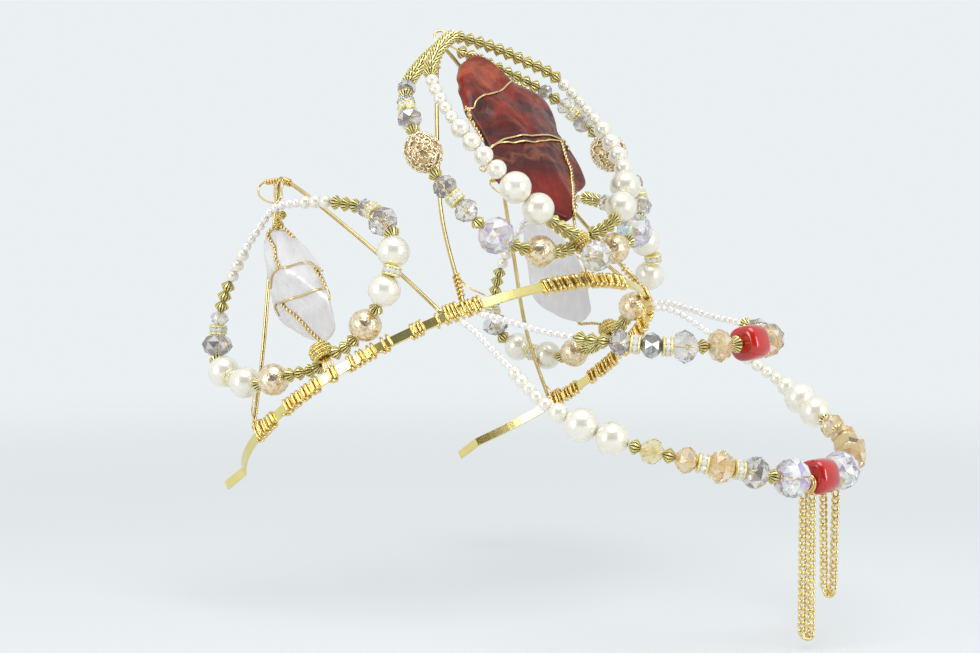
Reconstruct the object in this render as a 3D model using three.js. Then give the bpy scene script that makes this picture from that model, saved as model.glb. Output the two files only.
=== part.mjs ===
// A wire-wrapped bead tiara: a flat open band, three pointed petals of wire, beads and stone,
// and two bead swags that hang over the brow, the lower one with two loops of chain.
// It is built on its own frame, with the band's centre at the origin, the front towards -Y and
// the petals up along +Z. That frame is then tipped back, the way the tiara sits on a head.
import * as THREE from 'three';

// Driving dimensions, in millimetres
const bandRadius = 71.6;
const bandHeight = 3;
const bandThickness = 1;
const tabLength = 10;
const frameWire = 1.3;
const bindingWire = 0.66;
const bindingPitch = 1.2;
const threadWire = 0.9;
const seatGap = 0.3;
const footRise = 1.5;
const sidePetalHeight = 71.9;
const centrePetalHeight = 97.4;
const sideLoopFoot = 5.8;
const quartzWidth = 24.8;
const quartzThickness = 8;
const jasperWidth = 46;
const jasperThickness = 10;
const jasperLean = 11.5;
const upperSwagDrop = 46.8;
const lowerSwagDrop = 91;
const swagCentreShift = 1.8;
const baseTieRadius = 2.3;
const crestRingRadius = 1.6;
const chainRingRadius = 2.6;
const chainRingWire = 0.8;
const longChainDrop = 46.4;
const shortChainDrop = 35;
const longChainSpread = 3;
const shortChainSpread = 4.4;
const chainWidth = 2.1;
const chainWaist = 1.5;
const linkPitch = 2.1;

// A petal's loop and stone follow its height
const sideLoopHeightShare = 0.8275;
const quartzHeightShare = 0.5835;
const jasperHeightShare = 0.7218;
const sideLoopHeight = sidePetalHeight * sideLoopHeightShare;
const quartzHeight = sidePetalHeight * quartzHeightShare;
const jasperHeight = centrePetalHeight * jasperHeightShare;

// Angles round the band from its front, and the tilt of the whole tiara, in degrees
const bandEndAngle = 130;
const bandStepAngle = 6.5;
const tiltAngle = 32.4;
const sideBaseAngle = 75.2;
const degrees = Math.PI / 180;

// Beads: length along the thread, diameter, and the outline between the holes, whose pairs are
// shares of the length and of the radius
const ballShares = [[0.1, 0.6], [0.33, 0.94], [0.67, 0.94], [0.9, 0.6]];
const pearlShares = [[0.15, 0.71], [0.5, 1], [0.85, 0.71]];
const seedShares = [[0.22, 0.86], [0.78, 0.86]];
const biconeShares = [[0.5, 1]];
const crystalShares = [[0.27, 1], [0.73, 1]];
const discShares = [[0.1, 1], [0.9, 1]];
const briolletteShares = [[0.04, 0.42], [0.3, 0.95], [0.7, 0.95], [0.96, 0.42]];
const barrelShares = [[0.02, 0.8], [0.12, 1], [0.88, 1], [0.98, 0.8]];
const beads = {
  seed: { length: 2.45, width: 2.3, outline: biconeShares },
  rice: { length: 2.9, width: 2.9, outline: biconeShares },
  smallPearl: { length: 4, width: 4.1, outline: seedShares },
  pearl: { length: 5.9, width: 6, outline: pearlShares },
  bigPearl: { length: 9.9, width: 10, outline: ballShares },
  ball: { length: 10, width: 10, outline: ballShares },
  filigree: { length: 14.2, width: 12, outline: ballShares },
  bicone: { length: 3.5, width: 4.5, outline: biconeShares },
  cap: { length: 3.8, width: 5.2, outline: biconeShares },
  smallCrystal: { length: 4.4, width: 6, outline: crystalShares },
  crystal: { length: 6.2, width: 8, outline: crystalShares },
  bigCrystal: { length: 7.4, width: 10, outline: crystalShares },
  spacer: { length: 3, width: 6, outline: discShares },
  clear: { length: 10.8, width: 11.6, outline: briolletteShares },
  frontClear: { length: 10, width: 9.8, outline: briolletteShares },
  coral: { length: 8.6, width: 11.4, outline: barrelShares },
  tail: { length: 4.4, width: threadWire, outline: [] },
  lead: { length: 1.2, width: threadWire, outline: [] },
  slot: { length: 2.2, width: threadWire, outline: [] },
};

// Threads of the left half. Across and forward are shares of the band's radius, and upward is a
// share of the loop's height or of the swag's drop. A side loop's height counts from its foot,
// which clears the windings below it.
const sideFrontShares = [
  [-0.93, -0.299, 0.007], [-0.908, -0.363, 0], [-0.892, -0.413, 0.007], [-0.869, -0.496, 0.047],
  [-0.877, -0.589, 0.074], [-0.877, -0.673, 0.13], [-0.858, -0.746, 0.209], [-0.831, -0.774, 0.302],
  [-0.796, -0.775, 0.412], [-0.784, -0.747, 0.507], [-0.786, -0.723, 0.598], [-0.784, -0.691, 0.657],
  [-0.789, -0.649, 0.702], [-0.825, -0.553, 0.812],
];
const sideTopShares = [
  [-0.825, -0.553, 0.812], [-0.838, -0.476, 0.875], [-0.853, -0.376, 0.948], [-0.863, -0.3, 0.993],
  [-0.869, -0.229, 1], [-0.872, -0.154, 0.972], [-0.876, -0.042, 0.933], [-0.878, 0.06, 0.879],
  [-0.883, 0.14, 0.829],
];
const sideRearShares = [
  [-0.883, 0.14, 0.829], [-0.891, 0.204, 0.773], [-0.895, 0.284, 0.68], [-0.897, 0.317, 0.626],
  [-0.905, 0.349, 0.54], [-0.94, 0.355, 0.447], [-0.971, 0.302, 0.318], [-0.986, 0.232, 0.242],
  [-0.994, 0.161, 0.151], [-0.993, 0.095, 0.117], [-0.983, -0.006, 0.082], [-0.969, -0.087, 0.043],
  [-0.944, -0.126, 0.024], [-0.925, -0.168, 0.007], [-0.927, -0.221, 0],
];
const innerShares = [
  [-0.027, -1.075, 0.137], [-0.116, -1.092, 0.144], [-0.208, -1.116, 0.175], [-0.291, -1.128, 0.224],
  [-0.365, -1.137, 0.285], [-0.436, -1.117, 0.4], [-0.469, -1.075, 0.544], [-0.462, -1.045, 0.637],
  [-0.439, -1.022, 0.729], [-0.394, -1.006, 0.794], [-0.316, -0.98, 0.844], [-0.23, -0.958, 0.893],
  [-0.155, -0.939, 0.93], [-0.074, -0.915, 0.964], [-0.003, -0.898, 0.988],
];
const outerBaseShares = [
  [-0.028, -1.032, 0.113], [-0.112, -1.018, 0.104], [-0.247, -1.02, 0.103], [-0.317, -1.011, 0.117],
  [-0.394, -1.006, 0.143],
];
const outerClearShares = [
  [-0.394, -1.006, 0.143], [-0.517, -1.003, 0.206],
];
const outerMiddleShares = [
  [-0.517, -1.003, 0.206], [-0.584, -1.008, 0.277], [-0.619, -0.99, 0.361], [-0.619, -0.968, 0.431],
];
const outerFiligreeShares = [
  [-0.619, -0.968, 0.431], [-0.598, -0.941, 0.575],
];
const outerTopShares = [
  [-0.598, -0.941, 0.575], [-0.573, -0.932, 0.634], [-0.522, -0.908, 0.708], [-0.448, -0.887, 0.779],
  [-0.355, -0.867, 0.837], [-0.251, -0.851, 0.887], [-0.147, -0.835, 0.934], [-0.064, -0.83, 0.967],
];
const upperSwagShares = [
  [-0.559, -0.841, -0.073], [-0.595, -0.88, -0.107], [-0.595, -0.978, -0.235],
  [-0.58, -1.103, -0.417], [-0.57, -1.205, -0.543], [-0.538, -1.278, -0.637],
  [-0.465, -1.353, -0.726], [-0.391, -1.433, -0.827], [-0.296, -1.507, -0.908],
  [-0.169, -1.577, -0.976], [-0.101, -1.606, -0.998], [-0.06, -1.612, -1],
];
const lowerPearlShares = [
  [-0.633, -0.786, -0.037], [-0.67, -0.831, -0.062], [-0.691, -0.884, -0.119],
  [-0.715, -0.95, -0.219], [-0.736, -1.006, -0.295], [-0.761, -1.075, -0.407],
  [-0.775, -1.126, -0.479], [-0.761, -1.168, -0.534], [-0.689, -1.293, -0.682],
  [-0.655, -1.332, -0.72],
];
const lowerCrystalShares = [
  [-0.655, -1.332, -0.72], [-0.608, -1.383, -0.766], [-0.531, -1.457, -0.832],
  [-0.437, -1.517, -0.889], [-0.316, -1.57, -0.937], [-0.215, -1.601, -0.98],
];
const lowerClearShares = [
  [-0.215, -1.601, -0.98], [-0.066, -1.61, -1],
];

const crown = new THREE.Group();
crown.rotation.x = -tiltAngle * degrees;
const hanging = new THREE.Group();
const tiara = new THREE.Group();
tiara.add(crown, hanging);

const finish = (color, roughness, metalness) => (
  new THREE.MeshStandardMaterial({ color, roughness, metalness })
);
const finishes = {
  gold: finish(0xd9b45a, 0.28, 1),
  pearl: finish(0xefe8d2, 0.25, 0),
  crystal: finish(0xb8b4a4, 0.08, 0),
  clear: finish(0xe6e4ee, 0.06, 0),
  quartz: finish(0xdde4e4, 0.2, 0),
  jasper: finish(0x7a2f24, 0.22, 0),
  coral: finish(0xc4181c, 0.15, 0),
};

const point = (x, y, z) => new THREE.Vector3(x, y, z);
const mirrored = (points) => points.map((p) => point(-p.x, p.y, p.z));
const sideOf = (name, points) => (name === 'left' ? points : mirrored(points));
const sides = ['left', 'right'];

function addPart(name, geometry, look, group = crown) {
  const mesh = new THREE.Mesh(geometry, finishes[look]);
  mesh.name = name;
  group.add(mesh);
}

// A closed body through a row of rings, with a flat fan on each end
function ringBody(rings) {
  const count = rings[0].length;
  const corners = rings.flat();
  const middle = (ring) => ring.reduce((sum, p) => sum.add(p), point(0, 0, 0)).divideScalar(count);
  const firstCap = corners.length;
  const lastRing = (rings.length - 1) * count;
  corners.push(middle(rings[0]), middle(rings[rings.length - 1]));
  const faces = [];
  for (let side = 0; side < count; side += 1) {
    const next = (side + 1) % count;
    faces.push(firstCap, next, side);
    faces.push(firstCap + 1, lastRing + side, lastRing + next);
    for (let here = 0; here < lastRing; here += count) {
      const there = here + count;
      faces.push(here + side, here + next, there + side);
      faces.push(here + next, there + next, there + side);
    }
  }
  const places = corners.flatMap((p) => [p.x, p.y, p.z]);
  const geometry = new THREE.BufferGeometry();
  geometry.setAttribute('position', new THREE.Float32BufferAttribute(places, 3));
  geometry.setIndex(faces);
  return geometry;
}

// Round rings on a row of stations, each { at, along, radius }, without twist
function roundBody(stations, count) {
  let across = point(0, 0, 1);
  if (Math.abs(stations[0].along.z) > Math.SQRT1_2) across = point(0, 1, 0);
  const rings = stations.map(({ at, along, radius }) => {
    across = across.clone().addScaledVector(along, -across.dot(along)).normalize();
    const other = point(0, 0, 0).crossVectors(along, across);
    return Array.from({ length: count }, (unused, side) => {
      const turn = (2 * Math.PI * side) / count;
      return at.clone()
        .addScaledVector(across, radius * Math.cos(turn))
        .addScaledVector(other, radius * Math.sin(turn));
    });
  });
  return ringBody(rings);
}

// A tube through given points, of one radius or of one for each point
function tubeBody(points, radius, count) {
  const stations = points.map((at, index) => {
    const before = points[Math.max(index - 1, 0)];
    const after = points[Math.min(index + 1, points.length - 1)];
    const size = Array.isArray(radius) ? radius[index] : radius;
    return { at, along: after.clone().sub(before).normalize(), radius: size };
  });
  return roundBody(stations, count);
}

// Beads on a thread: they fill the whole route in proportion to their lengths, each turned about
// its own straight chord, and the row keeps half a seat gap at each end
function beadRow(points, kinds, count) {
  const route = new THREE.CatmullRomCurve3(points, false, 'centripetal');
  route.arcLengthDivisions = points.length * kinds.length * count;
  const beadLength = kinds.reduce((sum, kind) => sum + beads[kind].length, 0);
  const margin = seatGap / 2 / route.getLength();
  let passed = 0;
  const spots = [route.getPointAt(margin)];
  kinds.forEach((kind) => {
    passed += beads[kind].length / beadLength;
    spots.push(route.getPointAt(Math.min(passed, 1 - margin)));
  });
  const chords = kinds.map((kind, index) => spots[index + 1].clone().sub(spots[index]));
  const headings = chords.map((chord) => chord.clone().normalize());
  const stations = [{ at: spots[0], along: headings[0], radius: threadWire / 2 }];
  kinds.forEach((kind, index) => {
    const along = headings[index];
    beads[kind].outline.forEach(([lengthShare, radiusShare]) => {
      const at = spots[index].clone().addScaledVector(chords[index], lengthShare);
      stations.push({ at, along, radius: (beads[kind].width / 2) * radiusShare });
    });
    const next = headings[Math.min(index + 1, kinds.length - 1)];
    const turned = along.clone().add(next).normalize();
    stations.push({ at: spots[index + 1], along: turned, radius: threadWire / 2 });
  });
  return roundBody(stations, count);
}

const repeat = (kind, times) => Array(times).fill(kind);
const threadPoints = (table, height, foot = 0) => (
  table.map(([x, y, z]) => point(x * bandRadius, y * bandRadius, foot + z * (height - foot)))
);
const onBand = (angle, radius, height) => point(
  -radius * Math.sin(angle * degrees),
  -radius * Math.cos(angle * degrees),
  height,
);

// Band: a flat strip on an arc, with a straight tab at each end that runs backwards
function bandBody() {
  const halfHeight = bandHeight / 2;
  const halfThickness = bandThickness / 2;
  const section = (at, out) => [[1, 1], [1, -1], [-1, -1], [-1, 1]].map(([outward, upward]) => (
    at.clone().addScaledVector(out, outward * halfThickness).setZ(upward * halfHeight)
  ));
  const end = onBand(bandEndAngle, bandRadius, 0);
  const bend = (bandEndAngle + 90) / 2;
  const steps = Math.round((2 * bandEndAngle) / bandStepAngle);
  const tabPlaces = [end.y + tabLength, end.y + bandThickness];
  const tabRings = (side) => tabPlaces.map((y) => section(point(-side * end.x, y, 0), point(side, 0, 0)));
  const rings = tabRings(-1);
  for (let step = 0; step <= steps; step += 1) {
    const angle = bandEndAngle - (2 * bandEndAngle * step) / steps;
    let facing = angle;
    if (step === 0) facing = bend;
    if (step === steps) facing = -bend;
    rings.push(section(onBand(angle, bandRadius, 0), onBand(facing, 1, 0)));
  }
  rings.push(...tabRings(1).reverse());
  return ringBody(rings);
}
addPart('band', bandBody(), 'gold');

// Windings: each loop has eight places, set clear of the strip and of its corners
const loopClear = bindingWire / 2 + seatGap;
const cornerClearShares = [1.43, 0.43];
const loopWide = bandThickness / 2 + loopClear * cornerClearShares[0];
const loopTall = bandHeight / 2 + loopClear * cornerClearShares[0];
const cornerWide = bandThickness / 2 + loopClear * cornerClearShares[1];
const cornerTall = loopTall - 2 * loopClear;
const loopOutline = [
  [loopWide, cornerTall], [cornerWide, loopTall], [-cornerWide, loopTall], [-loopWide, cornerTall],
  [-loopWide, -cornerTall], [-cornerWide, -loopTall], [cornerWide, -loopTall], [loopWide, -cornerTall],
];
let leastTurnGap = Infinity;

function noteTurnGap(points, perTurn) {
  for (let index = 0; index + perTurn < points.length; index += 1) {
    const gap = points[index].distanceTo(points[index + perTurn]) - bindingWire;
    leastTurnGap = Math.min(leastTurnGap, gap);
  }
}

function windingPoints(startAngle, turns) {
  const perTurn = loopOutline.length;
  const pitchAngle = bindingPitch / bandRadius / degrees;
  const points = [];
  for (let step = 0; step <= turns * perTurn; step += 1) {
    const [out, up] = loopOutline[step % perTurn];
    points.push(onBand(startAngle + (pitchAngle * step) / perTurn, bandRadius + out, up));
  }
  noteTurnGap(points, perTurn);
  return points;
}

const windings = [
  { name: 'end_winding', angle: 99.4, turns: 5 },
  { name: 'rear_petal_winding', angle: 80, turns: 8 },
  { name: 'front_petal_winding', angle: 61, turns: 6 },
  { name: 'petal_foot_winding', angle: 38.2, turns: 3 },
  { name: 'swag_winding', angle: 29.6, turns: 5 },
  { name: 'centre_winding', angle: 5.5, turns: 7 },
];
windings.forEach(({ name, angle, turns }) => {
  const points = windingPoints(angle, turns);
  sides.forEach((side) => {
    addPart(`${side}_${name}`, tubeBody(sideOf(side, points), bindingWire / 2, 4), 'gold');
  });
});

// Petal frames: one wire each, from one foot over the point to the other foot. Feet stand on the
// band, and the places between are shares of the band's radius and of the petal's height.
const bandTop = bandHeight / 2 + seatGap;
const petalPoint = ([x, y, z], height) => point(x * bandRadius, y * bandRadius, z * height);
const sideRearFoot = onBand(105.6, bandRadius, bandTop);
const sideFrontFoot = onBand(42.8, bandRadius, bandTop);
const centreFoot = onBand(36.4, bandRadius, bandTop);
const sideWireShares = [
  [-0.866, 0.145, 0.33], [-0.795, -0.04, 0.67], [-0.735, -0.2, 0.945], [-0.719, -0.235, 1],
  [-0.714, -0.275, 0.95], [-0.695, -0.44, 0.65], [-0.675, -0.61, 0.3],
];
const centreWireShares = [
  [-0.44, -0.76, 0.35], [-0.25, -0.765, 0.65], [-0.035, -0.8, 0.97], [0, -0.802, 1],
  [0.035, -0.8, 0.97], [0.25, -0.765, 0.65], [0.44, -0.76, 0.35],
];

const above = (foot) => foot.clone().setZ(foot.z + footRise);
function frameRoute(foot, shares, otherFoot, height) {
  const places = shares.map((share) => petalPoint(share, height));
  return new THREE.CatmullRomCurve3([above(foot), ...places, above(otherFoot)], false, 'centripetal');
}
function framePoints(foot, route, otherFoot) {
  return [foot, ...route.getPoints(route.points.length * 2), otherFoot];
}
const sideRoute = frameRoute(sideRearFoot, sideWireShares, sideFrontFoot, sidePetalHeight);
const otherCentreFoot = mirrored([centreFoot])[0];
const centreRoute = frameRoute(centreFoot, centreWireShares, otherCentreFoot, centrePetalHeight);
const sideFrame = framePoints(sideRearFoot, sideRoute, sideFrontFoot);
const centreFrame = framePoints(centreFoot, centreRoute, otherCentreFoot);
sides.forEach((side) => {
  addPart(`${side}_petal_frame`, tubeBody(sideOf(side, sideFrame), frameWire / 2, 6), 'gold');
});
addPart('centre_petal_frame', tubeBody(centreFrame, frameWire / 2, 6), 'gold');

// Stones: a slab with a rounded edge. Outline pairs are shares of its width and height.
const edgeShares = [[-0.5, 0.62], [-0.36, 0.9], [0, 1], [0.36, 0.9], [0.5, 0.62]];
function stoneRings(outline, width, height, thickness, place) {
  const sum = outline.reduce(([x, z], [across, up]) => [x + across, z + up], [0, 0]);
  const heart = sum.map((total) => total / outline.length);
  return edgeShares.map(([depth, size]) => outline.map(([across, up]) => place(
    (heart[0] + (across - heart[0]) * size) * width,
    (heart[1] + (up - heart[1]) * size) * height,
    depth * thickness,
  )));
}

const quartzOutlineShares = [
  [-0.17, 0], [-0.05, 0.01], [0.01, 0.04], [0.21, 0.15], [0.43, 0.32], [0.5, 0.42], [0.5, 0.5],
  [0.375, 0.68], [0.23, 0.91], [0.13, 0.99], [0.04, 1], [-0.06, 0.98], [-0.26, 0.86],
  [-0.435, 0.65], [-0.5, 0.53], [-0.5, 0.43], [-0.435, 0.24], [-0.315, 0.03],
];
const quartzPlaceShares = [-0.838, -0.184, 0.23];
const quartzFoot = petalPoint(quartzPlaceShares, sideLoopHeight);
const quartzPlace = (across, up, depth) => (
  point(quartzFoot.x + depth, quartzFoot.y + across, quartzFoot.z + up)
);
const quartzRings = stoneRings(
  quartzOutlineShares, quartzWidth, quartzHeight, quartzThickness, quartzPlace,
);
addPart('left_quartz', ringBody(quartzRings), 'quartz');
addPart('right_quartz', ringBody(quartzRings.map(mirrored).reverse()), 'quartz');
const quartzBottom = quartzPlace(quartzOutlineShares[0][0] * quartzWidth, 0, 0);
const quartzTop = quartzPlace(quartzOutlineShares[10][0] * quartzWidth, quartzHeight, 0);

const jasperOutlineShares = [
  [-0.09, 0], [-0.03, 0.01], [0.07, 0.065], [0.2, 0.155], [0.37, 0.22], [0.415, 0.33],
  [0.4, 0.48], [0.5, 0.66], [0.5, 0.72], [0.39, 0.795], [0.25, 0.86], [0.21, 0.94], [0.15, 0.99],
  [0.08, 1], [-0.04, 0.96], [-0.17, 0.9], [-0.3, 0.78], [-0.38, 0.64], [-0.375, 0.48],
  [-0.42, 0.365], [-0.5, 0.235], [-0.28, 0.1],
];
const jasperPlaceShares = [0.021, -1.043, 0.195];
const jasperFoot = petalPoint(jasperPlaceShares, centrePetalHeight);
const jasperPlace = (across, up, depth) => point(
  jasperFoot.x + across,
  jasperFoot.y + (jasperLean * up) / jasperHeight - depth,
  jasperFoot.z + up,
);
const jasperRings = stoneRings(
  jasperOutlineShares, jasperWidth, jasperHeight, jasperThickness, jasperPlace,
);
addPart('jasper', ringBody(jasperRings), 'jasper');
const jasperBottom = jasperPlace(jasperOutlineShares[0][0] * jasperWidth, 0, 0);
const [jasperTieAcross, jasperTieUp] = jasperOutlineShares[14];
const jasperTop = jasperPlace(jasperTieAcross * jasperWidth, jasperTieUp * jasperHeight, 0);

// Apex ties: binding wire coiled round a frame wire near its point, then led down to the stone
const coilSteps = 8;
const coilTurns = 3;
const coilRadius = (frameWire / 2 + seatGap + bindingWire / 2) / Math.cos(Math.PI / coilSteps);
function coilPoints(route, startShare, direction, firstAcross) {
  const stepShare = (direction * bindingPitch) / coilSteps / route.getLength();
  let across = firstAcross;
  const points = [];
  for (let step = 0; step <= coilSteps * coilTurns; step += 1) {
    const share = startShare + stepShare * step;
    const along = route.getTangentAt(share);
    across = across.clone().addScaledVector(along, -across.dot(along)).normalize();
    const other = point(0, 0, 0).crossVectors(along, across);
    const turn = (2 * Math.PI * step) / coilSteps;
    points.push(route.getPointAt(share)
      .addScaledVector(across, coilRadius * Math.cos(turn))
      .addScaledVector(other, coilRadius * Math.sin(turn)));
  }
  noteTurnGap(points, coilSteps);
  return points;
}

const raised = (place, rise) => place.clone().setZ(place.z + rise);
const sideTieShares = [[-0.775, -0.165, 0.86], [-0.815, -0.16, 0.81]];
const sideTie = [
  ...coilPoints(sideRoute, 0.455, -1, point(-1, 0, 0)),
  ...sideTieShares.map((share) => petalPoint(share, sidePetalHeight)),
  raised(quartzTop, seatGap + footRise),
  raised(quartzTop, seatGap),
];
sides.forEach((side) => {
  addPart(`${side}_apex_tie`, tubeBody(sideOf(side, sideTie), bindingWire / 2, 5), 'gold');
});

const crestShares = [0, -0.824, 1.029];
const crestSteps = 10;
const crest = petalPoint(crestShares, centrePetalHeight);
const crestRing = Array.from({ length: crestSteps + 1 }, (unused, step) => {
  const turn = (-60 + (300 * step) / crestSteps) * degrees;
  const across = crestRingRadius * Math.cos(turn);
  return point(crest.x + across, crest.y, crest.z + crestRingRadius * Math.sin(turn));
});
const crestLegShares = [[0.036, -0.846, 0.96], [-0.014, -0.824, 0.999]];
const centreTie = [
  raised(jasperTop, seatGap),
  raised(jasperTop, seatGap + footRise),
  petalPoint(crestLegShares[0], centrePetalHeight),
  ...crestRing,
  petalPoint(crestLegShares[1], centrePetalHeight),
  ...coilPoints(centreRoute, 0.485, -1, point(0, -1, 0)),
];
addPart('centre_apex_tie', tubeBody(centreTie, bindingWire / 2, 5), 'gold');

// Base ties: a stem from the band, a knot that gathers the bead loops, and a stem to the stone.
// A place has its share of the knot's radius as its last number, and a stem has none.
const lowered = (place) => raised(place, -seatGap - footRise);
function tieBody(foot, shares, height, stone) {
  const knot = shares.map(([x, y, z]) => petalPoint([x, y, z], height));
  const size = shares.map((share) => Math.max(share[3] * baseTieRadius, bindingWire / 2));
  const stem = bindingWire / 2;
  return {
    points: [foot, above(foot), ...knot, lowered(stone), raised(stone, -seatGap)],
    radii: [stem, stem, ...size, stem, stem],
  };
}
const sideBaseShares = [
  [-0.967, -0.256, 0.07, 0], [-0.948, -0.26, 0.104, 0.85], [-0.944, -0.26, 0.146, 1],
  [-0.942, -0.26, 0.182, 0.75], [-0.93, -0.252, 0.2, 0],
];
const centreBaseShares = [
  [0, -1, 0.078, 0], [0, -1.034, 0.103, 0.65], [0, -1.056, 0.123, 0.87], [0, -1.058, 0.142, 0.74],
  [0, -1.052, 0.158, 0],
];
const sideBase = tieBody(
  onBand(sideBaseAngle, bandRadius, bandTop), sideBaseShares, sideLoopHeight, quartzBottom,
);
const centreBase = tieBody(
  onBand(0, bandRadius, bandTop), centreBaseShares, centrePetalHeight, jasperBottom,
);
sides.forEach((side) => {
  addPart(`${side}_base_tie`, tubeBody(sideOf(side, sideBase.points), sideBase.radii, 6), 'gold');
});
addPart('centre_base_tie', tubeBody(centreBase.points, centreBase.radii, 6), 'gold');

// Bead loops of the petals
const loopStart = repeat('bicone', 3);
const strands = [
  {
    name: 'loop_front',
    table: sideFrontShares,
    height: sideLoopHeight,
    foot: sideLoopFoot,
    look: 'pearl',
    kinds: [...loopStart, 'ball', 'bicone', 'bigPearl', 'spacer', 'bigPearl', 'cap', 'bigCrystal',
      'spacer', 'smallCrystal', ...loopStart],
  },
  {
    name: 'loop_top',
    table: sideTopShares,
    height: sideLoopHeight,
    foot: sideLoopFoot,
    look: 'pearl',
    kinds: [...repeat('smallPearl', 3), ...repeat('rice', 10), ...repeat('smallPearl', 3)],
  },
  {
    name: 'loop_rear',
    table: sideRearShares,
    height: sideLoopHeight,
    foot: sideLoopFoot,
    look: 'pearl',
    kinds: [...loopStart, 'smallCrystal', 'spacer', 'bigCrystal', 'cap', 'bigPearl', 'spacer',
      'bigPearl', 'bicone', 'ball', ...repeat('bicone', 4)],
  },
  {
    name: 'inner_loop',
    table: innerShares,
    height: centrePetalHeight,
    look: 'pearl',
    kinds: ['lead', ...repeat('bicone', 4), 'bigPearl', 'bigPearl', ...repeat('pearl', 4),
      ...repeat('smallPearl', 5), ...repeat('bicone', 11)],
  },
  {
    name: 'outer_loop_base',
    table: outerBaseShares,
    height: centrePetalHeight,
    look: 'gold',
    kinds: ['lead', ...loopStart, 'ball', 'bicone', 'bicone'],
  },
  {
    name: 'outer_loop_crystal',
    table: outerClearShares,
    height: centrePetalHeight,
    look: 'clear',
    kinds: ['clear'],
  },
  {
    name: 'outer_loop_middle',
    table: outerMiddleShares,
    height: centrePetalHeight,
    look: 'crystal',
    kinds: ['bicone', 'crystal', 'spacer', 'crystal', 'bicone'],
  },
  {
    name: 'outer_loop_filigree',
    table: outerFiligreeShares,
    height: centrePetalHeight,
    look: 'gold',
    kinds: ['filigree'],
  },
  {
    name: 'outer_loop_top',
    table: outerTopShares,
    height: centrePetalHeight,
    look: 'gold',
    kinds: ['bicone', 'crystal', 'spacer', 'smallCrystal', 'bicone', 'smallCrystal',
      ...repeat('bicone', 9)],
  },
];
strands.forEach(({ name, table, height, foot, look, kinds }) => {
  const points = threadPoints(table, height, foot);
  sides.forEach((side) => {
    addPart(`${side}_${name}`, beadRow(sideOf(side, points), kinds, 6), look);
  });
});

const frontCrystalShares = [[-0.07, -1.092, 0.05], [0.07, -1.092, 0.05]];
const frontCrystal = threadPoints(frontCrystalShares, centrePetalHeight);
addPart('front_crystal', beadRow(frontCrystal, ['frontClear'], 8), 'clear');

// Swags. The lower one's coral hangs off centre, so its right half is drawn along by that much.
const lastOf = (points) => points[points.length - 1];
const upperKinds = ['tail', ...repeat('seed', 14), ...repeat('bicone', 3), 'crystal', 'spacer',
  'crystal', 'spacer', 'bigCrystal', 'bicone', 'bigCrystal', 'cap'];
const upperPoints = threadPoints(upperSwagShares, upperSwagDrop);
const upperCoral = sides.map((side) => lastOf(sideOf(side, upperPoints)));
addPart('upper_swag_left', beadRow(upperPoints, upperKinds, 6), 'pearl');
addPart('upper_swag_coral', beadRow(upperCoral, ['coral'], 10), 'coral');
addPart('upper_swag_right', beadRow(mirrored(upperPoints), upperKinds, 6), 'pearl');

const lowerPearlKinds = ['tail', ...repeat('seed', 11), ...repeat('smallPearl', 5), 'pearl',
  'bigPearl', 'bigPearl'];
const lowerCrystalKinds = ['bicone', 'crystal', 'bicone', 'crystal', 'spacer', 'bigCrystal',
  'spacer', 'bigCrystal', 'bicone'];
const lowerPearlPoints = threadPoints(lowerPearlShares, lowerSwagDrop);
const lowerCrystalPoints = threadPoints(lowerCrystalShares, lowerSwagDrop);
const lowerClearPoints = threadPoints(lowerClearShares, lowerSwagDrop);
function shifted(points, startShare) {
  return mirrored(points).map((p, index) => {
    const share = startShare + ((1 - startShare) * index) / (points.length - 1);
    return p.setX(p.x + 2 * swagCentreShift * share);
  });
}
const rightCrystalPoints = shifted(lowerCrystalPoints, 0);
const rightClearPoints = shifted(lowerClearPoints, 1);
const lowerCoral = [lastOf(lowerClearPoints), lastOf(rightClearPoints)];
addPart('lower_swag_left_pearls', beadRow(lowerPearlPoints, lowerPearlKinds, 6), 'pearl');
addPart('lower_swag_left_crystals', beadRow(lowerCrystalPoints, lowerCrystalKinds, 6), 'crystal');
addPart('lower_swag_left_clear', beadRow(lowerClearPoints, ['clear'], 8), 'clear');
addPart('lower_swag_coral', beadRow(lowerCoral, ['slot', 'coral', 'slot'], 10), 'coral');
addPart('lower_swag_right_clear', beadRow(rightClearPoints, ['clear'], 8), 'clear');
addPart('lower_swag_right_crystals', beadRow(rightCrystalPoints, lowerCrystalKinds, 6), 'crystal');
addPart('lower_swag_right_pearls', beadRow(mirrored(lowerPearlPoints), lowerPearlKinds, 6), 'pearl');

// Chain loops: they hang straight down from rings on the thread at each side of the lower coral,
// so they are placed after the tilt. Their rings are as wide as a link and its waist in turn.
const straightAxis = point(1, 0, 0);
const levelled = (place) => place.clone().applyAxisAngle(straightAxis, -tiltAngle * degrees);
const ringDrop = chainRingRadius - (threadWire + chainRingWire) / 2 - seatGap;
const ringOutside = chainRingRadius + chainRingWire / 2;
function chainPoints(hook, drop, spread) {
  const turnRadius = (Math.min(spread, longChainSpread)) / 2;
  const inside = spread / 2 - chainWaist / 2;
  const top = ringDrop + Math.sqrt(ringOutside ** 2 - inside ** 2) + seatGap;
  const legSteps = Math.round((drop - top - turnRadius) / (linkPitch / 2));
  const turnSteps = 4;
  const half = [];
  for (let step = 0; step < legSteps; step += 1) {
    const share = step / legSteps;
    const across = spread / 2 + (turnRadius - spread / 2) * share;
    half.push([across, -top - (drop - top - turnRadius) * share]);
  }
  for (let step = 0; step <= turnSteps; step += 1) {
    const turn = (Math.PI / 2) * (step / turnSteps);
    half.push([turnRadius * Math.cos(turn), turnRadius - drop - turnRadius * Math.sin(turn)]);
  }
  const other = half.slice(0, -1).reverse().map(([across, up]) => [-across, up]);
  return [...half, ...other].map(([across, up]) => point(hook.x, hook.y + across, hook.z + up));
}
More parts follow.
